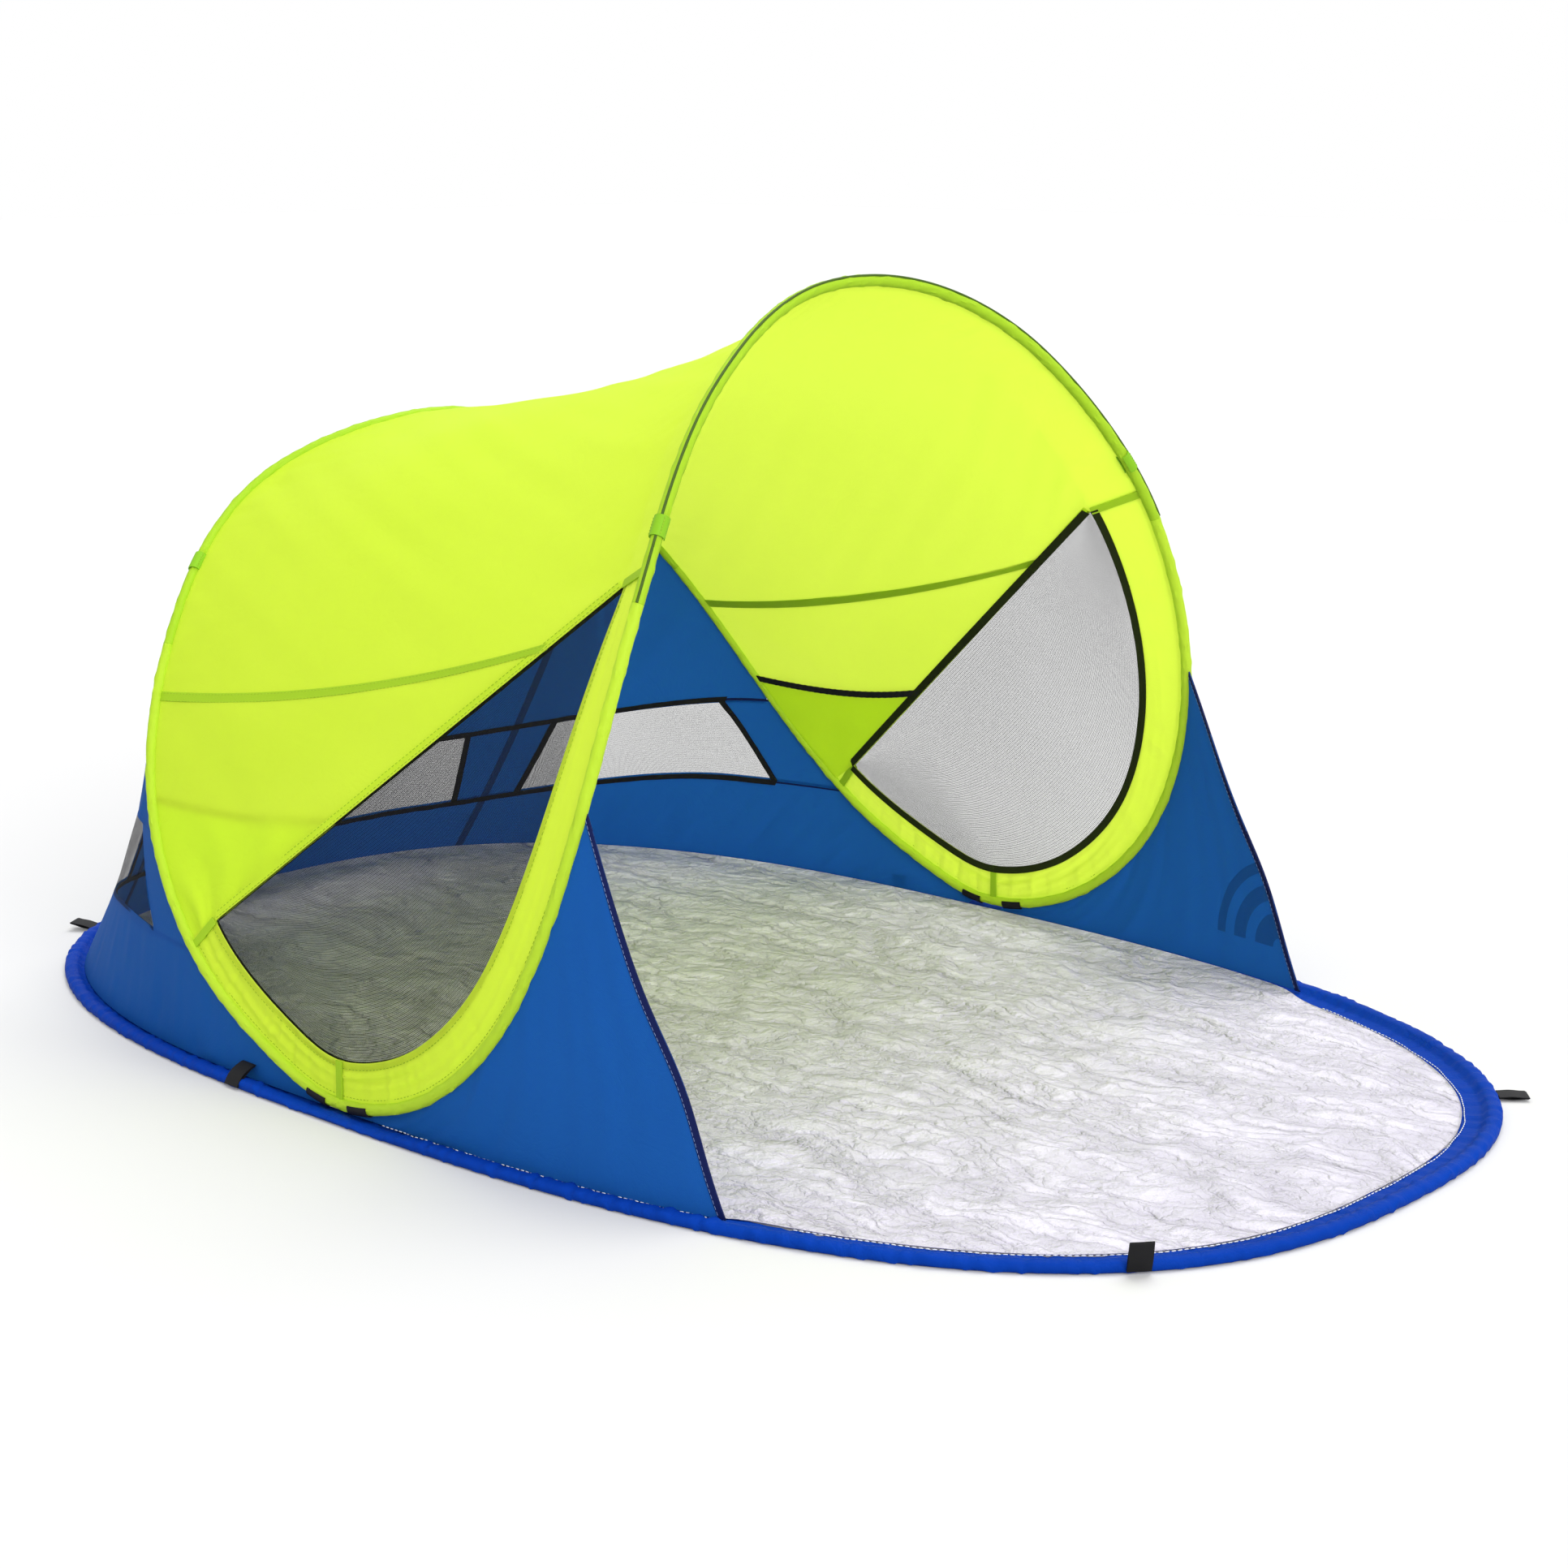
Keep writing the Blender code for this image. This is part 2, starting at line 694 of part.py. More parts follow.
def make_roof():
    """The roof cloth, from the seam on one side over the crown to the seam on the other."""
    outline = side_outline()
    corners = [outline["front"][0][-1], outline["tip"], outline["seam"], outline["hoop"][0]]
    corners = np.array(corners) + [0, 0, 2 * seam_gap]
    lengths = [polyline_length(corners[:2]), polyline_length(corners[:3]), polyline_length(corners)]
    along = np.linspace(0, 1, seam_steps + 1)
    places = [0, lengths[0], *(lengths[1] + (lengths[2] - lengths[1]) * along)]
    border = polyline_at(corners, places)
    border[2:, 2] -= seam_drop(along)
    share, t = roof_place(border)
    share[0], share[-1] = 0, 1
    rows = []
    for step in np.linspace(0, 1, roof_rows + 1):
        place = t + (1 - t) * step
        row = roof_point(share, place)
        row += (border - roof_point(share, t)) * (1 - step) ** 2
        rows.append(row)
    rows = np.array(rows)
    rows[-1, :, 1] = 0
    whole = np.concatenate([rows, mirrored(rows[-2::-1], -1)])
    sheet("roof", whole, LIME)


# Back wall
def wall_lines(around):
    """Lines up the wall: foot, way to the top, share of it that the cloth fills, and sag."""
    around = np.asarray(around, float)
    low, _ = ring_point(math.pi - math.pi / 2 * around, wall_inset, hem_seat)
    chord = arch_line("rear", around) - low
    length = np.linalg.norm(chord, axis=-1)
    turned = np.stack([0 * around + 1, np.where(around < 0, -1.0, 1.0), 0 * around + 1], -1)
    along = arch_direction("rear", 1 - np.abs(around)) * turned
    filled = 1 - clearance_along(chord, along, edge_offset) / length
    tallest = math.hypot(rear_arch_height, floor_rear_reach - rear_arch_reach)
    drawn_in = np.cross(unit(chord), np.cross(unit(chord), low * [1, 1, 0]))
    return low, chord, filled, unit(drawn_in) * (wall_sag * (length / tallest) ** 2)[..., None]


def wall_at(lines, up):
    """Points at these shares up the lines of the wall."""
    low, chord, filled, sag = lines
    share = (up * filled)[..., None]
    return low + chord * share + sag * (4 * share * (1 - share))


def wall_point(around, up):
    """Back wall surface: around runs from the -Y foot at -1 to the +Y foot at 1, up from the hem."""
    return wall_at(wall_lines(around), up)


def row_height(around, share):
    """Height of the window row round the wall, from its bottom line at 0 to its top line at 1."""
    turn = np.clip((np.abs(around) - row_rise_start_share) / (row_rise_end_share - row_rise_start_share), 0, 1)
    ramp = turn**2 * (3 - 2 * turn)
    low = row_bottom_height + (row_bottom_end_height - row_bottom_height) * ramp
    high = row_top_height + (row_top_end_height - row_top_height) * ramp
    return low + (high - low) * share


def row_up(around, share, rise):
    """Share up the wall of a line of the window row, moved up by a real length."""
    lines = wall_lines(around)
    height = row_height(around, share)
    low = np.zeros_like(height)
    high = low + 2
    for _ in range(30):
        middle = (low + high) / 2
        above = wall_at(lines, middle)[..., 2] > height
        high = np.where(above, middle, high)
        low = np.where(above, low, middle)
    return low + rise / (np.linalg.norm(lines[1], axis=-1) * lines[2])


def row_end(share, rise):
    """Share round the wall at which a line of the window row meets the rear arch."""
    low, high = np.array([centre_window_top_share]), np.array([1 - wall_start_share])
    for _ in range(30):
        middle = (low + high) / 2
        past = row_up(middle, share, rise) > 1
        high = np.where(past, middle, high)
        low = np.where(past, low, middle)
    return low[0]


def shifted_round(around, up, distance):
    """Share round the wall, moved by a real length."""
    small = 0.001
    places = np.array([around - small, around + small])
    ends = wall_point(places, np.array([up, up]))
    return around + distance * 2 * small / np.linalg.norm(ends[1] - ends[0])


window_edges = {
    "centre": (centre_window_bottom_share, centre_window_top_share),
    "start": (side_window_start_bottom_share, side_window_start_top_share),
    "end": (side_window_end_bottom_share, side_window_end_top_share),
}


def wall_row(left, right, level, columns):
    """One row of wall points. Edges and level are each a place with a real length to move it by."""
    share, rise = level
    ends = []
    for side, which, distance in (left, right):
        if which == "arch":
            ends.append(side * row_end(share, rise))
            continue
        low, high = window_edges[which]
        edge = low + (high - low) * share
        up = row_up(np.array([edge]), share, rise)[0]
        ends.append(side * shifted_round(edge, up, distance))
    around = np.linspace(ends[0], ends[1], columns + 1)
    return wall_point(around, np.minimum(row_up(around, share, rise), 1))


def wall_grid(left, right, levels, columns):
    """Wall points in rows at the given levels, between a left and a right edge."""
    return np.array([wall_row(left, right, level, columns) for level in levels])


def make_wall_panels(drop):
    """Lower and upper panel, which leave the window row free by this length on both sides."""
    corner = row_end(0, -drop)
    inner = np.linspace(0, corner, lower_wall_steps + 1)
    outer = np.linspace(corner, 1 - wall_start_share, lower_wall_steps // 2 + 1)
    half = np.concatenate([inner, outer[1:]])
    around = np.concatenate([-half[:0:-1], half])
    top = np.minimum(row_up(around, 0, -drop), 1)
    sheet("back_wall_lower", [wall_point(around, top * step) for step in np.linspace(0, 1, 3)], BLUE)
    reach = row_end(1, drop + wall_corner_width)
    around = np.linspace(-reach, reach, upper_wall_steps + 1)
    start = row_up(around, 1, drop)
    rows = [wall_point(around, start + (1 - start) * step) for step in np.linspace(0, 1, 5)]
    sheet("back_wall_upper", rows, BLUE)


def make_back_wall():
    """Lower, upper, strip and outer panels, three mesh windows and the tape that binds them."""
    binding = window_binding_width
    make_wall_panels(binding + cloth_seam_gap)
    framed = [(0, -binding), (0, 0), (0.5, 0), (1, 0), (1, binding)]
    inside = [(0, seam_gap), (0.5, 0), (1, -seam_gap)]
    edged = [(0, -binding), *((share, 0) for share in np.linspace(0, 1, arch_edge_steps + 1)), (1, binding)]
    strip = (1, "centre", binding + seam_gap), (1, "start", -binding - seam_gap)
    outer = (1, "end", binding + cloth_seam_gap), (1, "arch", 0)
    window = (1, "start", seam_gap), (1, "end", -seam_gap)
    for label, mirror in (("left", 1), ("right", -1)):
        grids = {
            "back_wall_strip": (wall_grid(*strip, inside, 2), BLUE),
            "back_wall_outer": (wall_grid(*outer, edged, 4), BLUE),
            "back_window": (wall_grid(*window, inside, window_steps), BLACK),
        }
        for name, (grid, colour) in grids.items():
            sheet(f"{name}_{label}", mirrored(grid, mirror), colour)
    middle = (-1, "centre", -seam_gap), (1, "centre", -seam_gap)
    sheet("back_window_centre", wall_grid(*middle, inside, 2 * window_steps), BLACK)
    borders = [("centre", 0), ("centre", binding), ("start", -binding), ("start", 0), ("end", 0), ("end", binding)]
    counts = (1, 2, 1, window_steps, 1)
    halves = []
    for start, end, count in zip(borders[:-1], borders[1:], counts):
        halves.append(wall_grid((1, *start), (1, *end), framed, count)[:, 1:])
    centre = wall_grid((-1, "centre", 0), (1, "centre", 0), framed, 2 * window_steps)
    half = np.concatenate(halves, axis=1)
    whole = np.concatenate([mirrored(half[:, ::-1], -1), centre, half], axis=1)
    open_side = [False, True, False, True, False]
    opened = [gap for gap, count in zip(open_side, counts) for _ in range(count)]
    kept = np.ones((len(framed) - 1, whole.shape[1] - 1), bool)
    kept[1:-1] = ~np.array(opened[::-1] + [True] * (2 * window_steps) + opened)
    sheet("back_window_binding", whole, BLACK, kept=kept)


# Front wings
def wing_lines():
    """The wing's edge up the front leg and its edge along the hem, each from the open front back."""
    top = arch_share_at_height("front", wing_top_height)
    leg = arch_point("front", np.linspace(top, cloth_start_share, 80))
    start = math.atan2(floor_half_width, wing_corner_reach)
    end = math.atan2(floor_half_width, wing_foot_reach)
    hem, _ = ring_point(np.linspace(start, end, 80), wall_inset, hem_seat)
    return leg, hem


def wing_grid(leg_reach, hem_reach):
    """Wing surface between points along the leg and points along the hem."""
    leg, hem = wing_lines()
    upper = polyline_at(leg, leg_reach)
    along = np.stack([np.interp(leg_reach, line_lengths(leg), axis) for axis in np.gradient(leg, axis=0).T], -1)
    lower = polyline_at(hem, hem_reach)
    before = clearance_along(lower - upper, along, edge_offset)
    return rows_between(upper, lower, wing_rows + 1, before, 0 * before)


def make_wings():
    """Front wings with a navy binding along each free edge."""
    leg, hem = wing_lines()
    lengths = polyline_length(leg), polyline_length(hem)
    hollow = wing_edge_hollow * np.sin(np.linspace(0, math.pi, wing_rows + 1))[:, None]
    bound = np.linspace(0, 1, 2)
    edge = wing_grid(bound * wing_binding_width, bound * wing_binding_width)
    steps = np.linspace(0, 1, wing_steps + 1)
    start = wing_binding_width + seam_gap
    panel = wing_grid(start + (lengths[0] - start) * steps, start + (lengths[1] - start) * steps)
    backward = unit(edge[wing_rows // 2, 1] - edge[wing_rows // 2, 0])
    edge = edge + backward * hollow[..., None]
    fade = (1 - steps) ** 2
    panel = panel + backward * (hollow * fade)[..., None]
    for label, mirror in (("left", 1), ("right", -1)):
        sheet(f"wing_binding_{label}", mirrored(edge, mirror), NAVY)
        sheet(f"wing_{label}", mirrored(panel, mirror), BLUE)


# Peg loops
def capsule(length, thickness):
    """Outline of a flat loop seen from its side: two round ends joined by straight plies."""
    radius = thickness / 2
    turns = np.radians([90, 135, 225, 270])
    first = np.stack([radius * np.cos(turns), radius * np.sin(turns)], -1)
    second = np.stack([length - radius * np.cos(turns), -radius * np.sin(turns)], -1)
    return np.concatenate([first, second])


def make_peg_loop(name, angle, raised):
    """A flat webbing loop that turns on the stitches at the hem's edge, at its own origin."""
    edge, _ = ring_point(np.array(angle), -loop_thickness / 2 - loop_joint_clearance, hem_thickness / 2)
    outer = capsule(loop_length, loop_thickness)
    eye = capsule(loop_length - loop_sewn_length, loop_eye) + [loop_sewn_length, 0]
    points = np.array([[0, -0.5, 0], [0, 0.5, 0]]) * loop_width
    across = np.array([[1, 0, 0], [1, 0, 0]])
    upward = np.array([[0, 0, 1], [0, 0, 1]])
    made = swept(name, points, across, upward, outer, BLACK, eye)
    made.location = edge - [foot_line_setback, 0, 0]
    _, outward = ring_point(np.array(angle), 0, 0)
    made.rotation_euler = (0, -raised, math.atan2(outward[1], outward[0]))


def hang(name, parent, starts):
    """An empty on the foot line that carries the pieces whose names start as given."""
    empty = bpy.data.objects.new(name, None)
    bpy.context.collection.objects.link(empty)
    hinge = Vector((-foot_line_setback, 0, hinge_height))
    empty.parent = parent
    empty.location = hinge if parent is None else (0, 0, 0)
    for item in bpy.data.objects:
        if item.type == "MESH" and item.name.startswith(starts):
            item.parent = empty
            item.location = item.location - hinge
    return empty


def clear_scene():
    """Remove every object of the open scene."""
    for item in list(bpy.data.objects):
        bpy.data.objects.remove(item, do_unlink=True)


clear_scene()
for half in ("front", "rear"):
    make_floor_half(half)
    make_canopy_ring(half)
    make_ties(half)
make_foot_wires()
make_piping()
make_tabs("front", front_tab_share)
make_tabs("rear", rear_tab_share)
make_ferrules()
make_sides()
make_roof()
make_back_wall()
make_wings()
for place, (steps, raised) in loop_places.items():
    make_peg_loop(f"peg_loop_{place}", math.pi * steps / hem_steps, math.radians(raised))

# Pieces that turn together about the foot line
rear_arch = hang("rear_arch_pivot", None, (
    "rear_crown", "canopy_ferrule", "rear_tab", "roof", "side_", "pocket_", "rear_band"))
front_arch = hang("front_arch_pivot", rear_arch, ("front_crown", "front_tab", "front_leg", "front_band", "wing"))
hang("front_floor_pivot", front_arch, (
    "hem_front", "floor_wire_front", "floor_sheet_front", "front_tie", "peg_loop_front"))
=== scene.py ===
# %% [markdown]
# # A self-opening beach tent
# Two sprung wire rings hold this tent up: one lies flat in the hem of the floor, and one is
# bent into a tall front arch and a lower rear arch. Everything else is cloth, mesh and tape
# between them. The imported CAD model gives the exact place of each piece, so this file works
# out the same curves again, finely, and gives them folds, seams, stitches and finishes.

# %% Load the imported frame
import math
import bpy
import numpy as np
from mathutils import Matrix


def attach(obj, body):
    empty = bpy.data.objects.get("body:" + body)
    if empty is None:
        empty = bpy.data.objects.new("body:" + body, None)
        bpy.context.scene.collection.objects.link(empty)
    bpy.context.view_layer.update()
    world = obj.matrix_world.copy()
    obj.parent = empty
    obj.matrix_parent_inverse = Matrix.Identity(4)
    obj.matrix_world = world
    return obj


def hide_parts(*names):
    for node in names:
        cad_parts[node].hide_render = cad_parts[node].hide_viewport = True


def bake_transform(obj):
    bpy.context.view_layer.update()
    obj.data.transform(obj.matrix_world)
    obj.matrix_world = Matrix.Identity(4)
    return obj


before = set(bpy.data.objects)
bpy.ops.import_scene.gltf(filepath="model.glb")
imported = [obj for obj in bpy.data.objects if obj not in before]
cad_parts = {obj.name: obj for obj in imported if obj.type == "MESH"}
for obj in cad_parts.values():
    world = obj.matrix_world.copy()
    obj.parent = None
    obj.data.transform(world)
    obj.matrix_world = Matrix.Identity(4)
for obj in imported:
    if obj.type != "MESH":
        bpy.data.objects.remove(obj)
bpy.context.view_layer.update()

# %% [markdown]
# ## Camera
# The camera stands where the photographer's did, found from the shape of the floor ring and
# the two arches. A long lens keeps the arches from looking stretched. Depth of field stays off.

# %% Camera
SENSOR_MM, LENS_MM = 36.0, 65.217
CAMERA_PLACE = (2.36428, -2.48224, 1.07780)
CAMERA_TILT, CAMERA_TURN = 77.100737, 42.526767
camera_data = bpy.data.cameras.new("tent_camera")
camera_data.sensor_width = SENSOR_MM
camera_data.lens = LENS_MM
camera = bpy.data.objects.new("tent_camera", camera_data)
camera.location = CAMERA_PLACE
camera.rotation_euler = (math.radians(CAMERA_TILT), 0.0, math.radians(CAMERA_TURN))
bpy.context.collection.objects.link(camera)
bpy.context.scene.camera = camera
bpy.context.scene.view_settings.view_transform = "Standard"
print("lens", camera_data.lens, "mm")


# %% [markdown]
# ## Node and colour helpers
# Colours are written as the sRGB hex values that a maker reads off a swatch, and Blender's
# sockets want linear light, so one function turns the first into the second. One more adds a
# node: values that are sockets become links, and the rest are set on the node's own sockets.

# %% Colours and nodes
def linear(swatch):
    """Linear colour of an sRGB hex swatch: each share c becomes ((c + 0.055) / 1.055) ** 2.4."""
    shares = [int(swatch[k:k + 2], 16) / 255 for k in (1, 3, 5)]
    lit = [((c + 0.055) / 1.055) ** 2.4 if c > 0.04045 else c / 12.92 for c in shares]
    return (*lit, 1.0)


def add_node(tree, kind, sockets=None, **settings):
    """One shader node of a tree with its settings, its socket values and its links."""
    made = tree.nodes.new("ShaderNode" + kind)
    for name, value in settings.items():
        setattr(made, name, value)
    for name, value in (sockets or {}).items():
        if isinstance(value, bpy.types.NodeSocket):
            tree.links.new(value, made.inputs[name])
        else:
            made.inputs[name].default_value = value
    return made


def math_node(tree, operation, first, second=0.0, clamp=False):
    """Result socket of one Math node."""
    sockets = {0: first, 1: second}
    return add_node(tree, "Math", sockets, operation=operation, use_clamp=clamp).outputs[0]


def noise(tree, where, scale, detail, roughness=0.5, distortion=0.0):
    """Noise Texture node over these places."""
    return add_node(tree, "TexNoise", {"Vector": where, "Scale": scale, "Detail": detail,
                                       "Roughness": roughness, "Distortion": distortion})


def mixed_colour(tree, share, first, second):
    """Colour socket part of the way from the first colour to the second."""
    return add_node(tree, "Mix", {"Factor": share, 6: first, 7: second}, data_type="RGBA").outputs[2]


def empty_material(name):
    """A new material and its cleared node tree."""
    made = bpy.data.materials.new(name)
    made.use_nodes = True
    made.node_tree.nodes.clear()
    return made, made.node_tree


# %% [markdown]
# ## Studio
# A white backdrop is only what the camera sees: the light on the tent comes from a plain soft
# sky and two wide suns, one high behind it and one low through its open front. The floor is a
# pale surface that glows a little for the camera alone, so it reads as white and still takes
# the tent's soft shadow.

# %% Backdrop, lamps and floor
WHITE = linear("#FFFFFF")
SKY_STRENGTH, BACKDROP_STRENGTH, FLOOR_GLOW = 0.80, 1.0, 0.10
STUDIO_HALF, STUDIO_DROP = 30, 0.0005
SUNS = {"high_sun": ((-0.1, 0.45, 1.0), 50, 1.8), "front_sun": ((1.0, -0.40, 0.62), 40, 2.0)}

world = bpy.data.worlds.new("studio")
bpy.context.scene.world = world
world.use_nodes = True
tree = world.node_tree
tree.nodes.clear()
path = add_node(tree, "LightPath")
seen = path.outputs["Is Camera Ray"]
for kind in ("Is Glossy Ray", "Is Transmission Ray"):
    seen = math_node(tree, "MAXIMUM", seen, path.outputs[kind])
sky = add_node(tree, "Background", {"Color": WHITE, "Strength": SKY_STRENGTH})
backdrop = add_node(tree, "Background", {"Color": WHITE, "Strength": BACKDROP_STRENGTH})
mixed = add_node(tree, "MixShader", {0: seen, 1: sky.outputs[0], 2: backdrop.outputs[0]})
add_node(tree, "OutputWorld", {"Surface": mixed.outputs[0]})


def add_sun(name, toward, spread, strength):
    """A distant lamp that shines from this direction, softened over a wide angle."""
    data = bpy.data.lights.new(name, "SUN")
    data.angle = math.radians(spread)
    data.energy = strength
    sun = bpy.data.objects.new(name, data)
    tilt = math.atan2(math.hypot(toward[0], toward[1]), toward[2])
    sun.rotation_euler = (tilt, 0, math.atan2(toward[1], toward[0]) + math.pi / 2)
    bpy.context.collection.objects.link(sun)


for name, sun in SUNS.items():
    add_sun(name, *sun)

corners = [(x * STUDIO_HALF, y * STUDIO_HALF, 0) for x, y in ((-1, -1), (1, -1), (1, 1), (-1, 1))]
floor_mesh = bpy.data.meshes.new("studio_floor")
floor_mesh.from_pydata(corners, [], [(0, 1, 2, 3)])
studio_floor = bpy.data.objects.new("studio_floor", floor_mesh)
studio_floor.location.z = -STUDIO_DROP
bpy.context.collection.objects.link(studio_floor)
floor_paint, tree = empty_material("studio_floor")
path = add_node(tree, "LightPath")
matt = add_node(tree, "BsdfDiffuse", {"Color": linear("#C8C8C8")})
glow = math_node(tree, "MULTIPLY", path.outputs["Is Camera Ray"], FLOOR_GLOW)
lift = add_node(tree, "Emission", {"Color": WHITE, "Strength": glow})
both = add_node(tree, "AddShader", {0: matt.outputs[0], 1: lift.outputs[0]})
add_node(tree, "OutputMaterial", {"Surface": both.outputs[0]})
floor_mesh.materials.append(floor_paint)

# %% [markdown]
# ## The two rings as curves
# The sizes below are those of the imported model. The floor ring is a rounded box whose widest
# line lies a little behind the feet. Each arch is a rounded box too, seen from the front, and
# leans out by shares of its reach. All curves are worked out from the middle of the line
# through the two feet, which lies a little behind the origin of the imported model.

# %% Sizes of the tent
SIDES = (("left", 1), ("right", -1))
FRONT_REACH, REAR_REACH, HALF_WIDTH = 1.022, 0.928, 0.610
WIDEST_SETBACK, CORNER_POWER = 0.043, 2.64
FOOT_SPACING, FOOT_HEIGHT = 0.588, 0.0171
# Each arch has a height, a reach, the power of its outline and shares of its reach on the way up.
ARCHES = {
    "front": (0.914, 0.349, 2.1, (0.0, 0.453, 0.804, 0.987, 1.0, 0.853, 0.729)),
    "rear": (0.717, -0.546, 1.94, (0.0, 0.204, 0.493, 0.731, 0.893, 1.0, 0.905)),
}
SETBACK = (FRONT_REACH - REAR_REACH) / 2
SLEEVE_RADIUS, WIRE_RADIUS = 0.007, 0.002
CLOTH_REACH = SLEEVE_RADIUS - 0.0026
HEM_WIDTH, HEM_THICKNESS = 0.045, 0.008
WALL_INSET, WALL_FOOT = 0.026, 0.0062
WING_CORNER, WING_FOOT = 0.6, 0.012
SEAM_DIP = 0.02
FACE_GAP = 0.00015
print("setback of the foot line", round(SETBACK, 4))


# %% Curves of the arches and the floor ring
def unit(vectors):
    """Vectors scaled to length one."""
    return vectors / np.maximum(np.linalg.norm(vectors, axis=-1, keepdims=True), 1e-12)


def mirrored(points, side):
    """Points of the +Y side, taken to the side given as 1 or -1."""
    return np.asarray(points) * np.array([1, side, 1])


def smooth_through(shares, t):
    """A cubic curve through evenly spaced values, level at its last one."""
    values = np.array(shares)
    last = len(values) - 1
    slopes = np.gradient(values)
    slopes[last] = 0
    place = np.clip(np.asarray(t, float), 0, 1) * last
    left = np.minimum(place.astype(int), last - 1)
    s = place - left
    start = values[left] * (1 + 2 * s) * (1 - s) ** 2 + slopes[left] * s * (1 - s) ** 2
    return start + values[left + 1] * s**2 * (3 - 2 * s) + slopes[left + 1] * s**2 * (s - 1)


def arch_point(which, t):
    """Centre line of the +Y half of an arch: a superellipse from the foot (t 0) to the crown (t 1)."""
    height, reach, power, shares = ARCHES[which]
    t = np.asarray(t, float)
    angle = math.pi / 2 * t**2
    y = FOOT_SPACING * np.abs(np.cos(angle)) ** (2 / power)
    z = FOOT_HEIGHT + (height - FOOT_HEIGHT) * np.sin(angle) ** (2 / power)
    return np.stack([reach * smooth_through(shares, t), y, z], -1)


def arch_line(which, around):
    """Whole arch, from the -Y foot at -1 over the crown at 0 to the +Y foot at 1."""
    around = np.asarray(around, float)
    points = arch_point(which, 1 - np.abs(around))
    points[..., 1] *= np.where(around < 0, -1, 1)
    return points


def arch_direction(which, t):
    """Direction of an arch's centre line on the +Y side, from two points close together."""
    small = 0.002
    return arch_point(which, np.minimum(t + small, 1)) - arch_point(which, np.minimum(t, 1 - small) - small)


def share_at_height(which, height):
    """Share of the way up an arch at which it has this height, by halving."""
    low, high = 0.0, 1.0
    for _ in range(40):
        middle = (low + high) / 2
        low, high = (middle, high) if arch_point(which, middle)[2] < height else (low, middle)
    return low


def arch_outward(points):
    """Directions that point out of the tent, square to its long axis."""
    return unit(points * [0, 1 / FOOT_SPACING**2, 1 / ARCHES["front"][0] ** 2])


def ring_radius(angle):
    """Distance from the origin to the floor ring's outer edge at an angle from +X, by halving."""
    low = np.zeros_like(angle)
    high = low + FRONT_REACH + REAR_REACH
    for _ in range(50):
        middle = (low + high) / 2
        x = middle * np.cos(angle) + WIDEST_SETBACK
        half = np.where(x > 0, FRONT_REACH + WIDEST_SETBACK, REAR_REACH - WIDEST_SETBACK)
        size = np.abs(x / half) ** CORNER_POWER + np.abs(middle * np.sin(angle) / HALF_WIDTH) ** CORNER_POWER
        high = np.where(size > 1, middle, high)
        low = np.where(size > 1, low, middle)
    return (low + high) / 2


def ring_point(angle, inset, height):
    """Point this far in from the floor ring's outer edge, with the outward direction there."""
    angle = np.asarray(angle, float)
    ends = []
    for turn in (-0.001, 0.001):
        radius = ring_radius(angle + turn)
        ends.append(np.stack([radius * np.cos(angle + turn), radius * np.sin(angle + turn)], -1))
    along = unit(ends[1] - ends[0])
    outward = np.stack([along[..., 1], -along[..., 0], 0 * angle], -1)
    edge = (ends[0] + ends[1]) / 2
    edge = np.stack([edge[..., 0], edge[..., 1], 0 * angle + height], -1)
    return edge - outward * np.asarray(inset)[..., None], outward


print("crown heights", [round(float(arch_point(w, 1.0)[2]), 3) for w in ARCHES])


# %% [markdown]
# ## Working along lines
# Most edges of the cloth are curves in space. These helpers walk along one by real length,
# which keeps seams, stitches and tapes evenly spaced however the curve bends.

# %% Lines and lengths
def between(start, end, t):
    """Points part of the way from start to end."""
    return start + (end - start) * np.asarray(t, float)[..., None]


def line_lengths(points):
    """Length along a polyline at each of its points."""
    return np.concatenate([[0], np.cumsum(np.linalg.norm(np.diff(points, axis=0), axis=1))])


def polyline_length(points):
    """Length of a polyline."""
    return line_lengths(points)[-1]


def polyline_at(points, distance):
    """Points at these distances along a polyline."""
    lengths = line_lengths(points)
    return np.stack([np.interp(distance, lengths, axis) for axis in points.T], -1)


def clearance_along(direction, along, clearance):
    """Length to leave along a direction so that a line keeps this clearance to a curve."""
    return clearance / np.linalg.norm(np.cross(unit(direction), unit(along)), axis=-1)


def rows_between(start, end, count, before=0.0, after=0.0):
    """Rows of points from start to end, held off both ends by real lengths."""
    length = np.linalg.norm(end - start, axis=-1)
    shares = np.linspace(0, 1, count)
    return np.stack([between(start, end, (before + (length - before - after) * s) / length) for s in shares])


def grid_normals(grid):
    """Unit normals of a grid of points: the cross product of its two directions."""
    return unit(np.cross(np.gradient(grid, axis=0), np.gradient(grid, axis=1)))


def grid_lengths(grid):
    """Two grids of real lengths: across the columns, and down the rows, as means of the cloth."""
    across = np.linalg.norm(np.diff(grid, axis=1), axis=2).mean(0)
    down = np.linalg.norm(np.diff(grid, axis=0), axis=2).mean(1)
    u = np.concatenate([[0], np.cumsum(across)])
    v = np.concatenate([[0], np.cumsum(down)])
    return np.meshgrid(u, v)


# %% [markdown]
# ## Folds
# Thin cloth held at its edges makes long soft folds along the pull and short gathers where a
# seam draws it in. A sum of a few sine waves in seeded directions gives a smooth random height.
# Raised to a power, it gives creases that are narrow on top and wide between.

# %% Random folds
def waves(u, v, size, seed, count=9):
    """Smooth random height, mostly from -1 to 1: sine waves over the root of their count and 1.4."""
    rng = np.random.default_rng(seed)
    total = 0 * u
    for _ in range(count):
        turn, phase = rng.uniform(0, 2 * math.pi, 2)
        length = size * rng.uniform(0.6, 1.5)
        total = total + np.sin(2 * math.pi * (u * math.cos(turn) + v * math.sin(turn)) / length + phase)
    return total / count**0.5 / 1.4


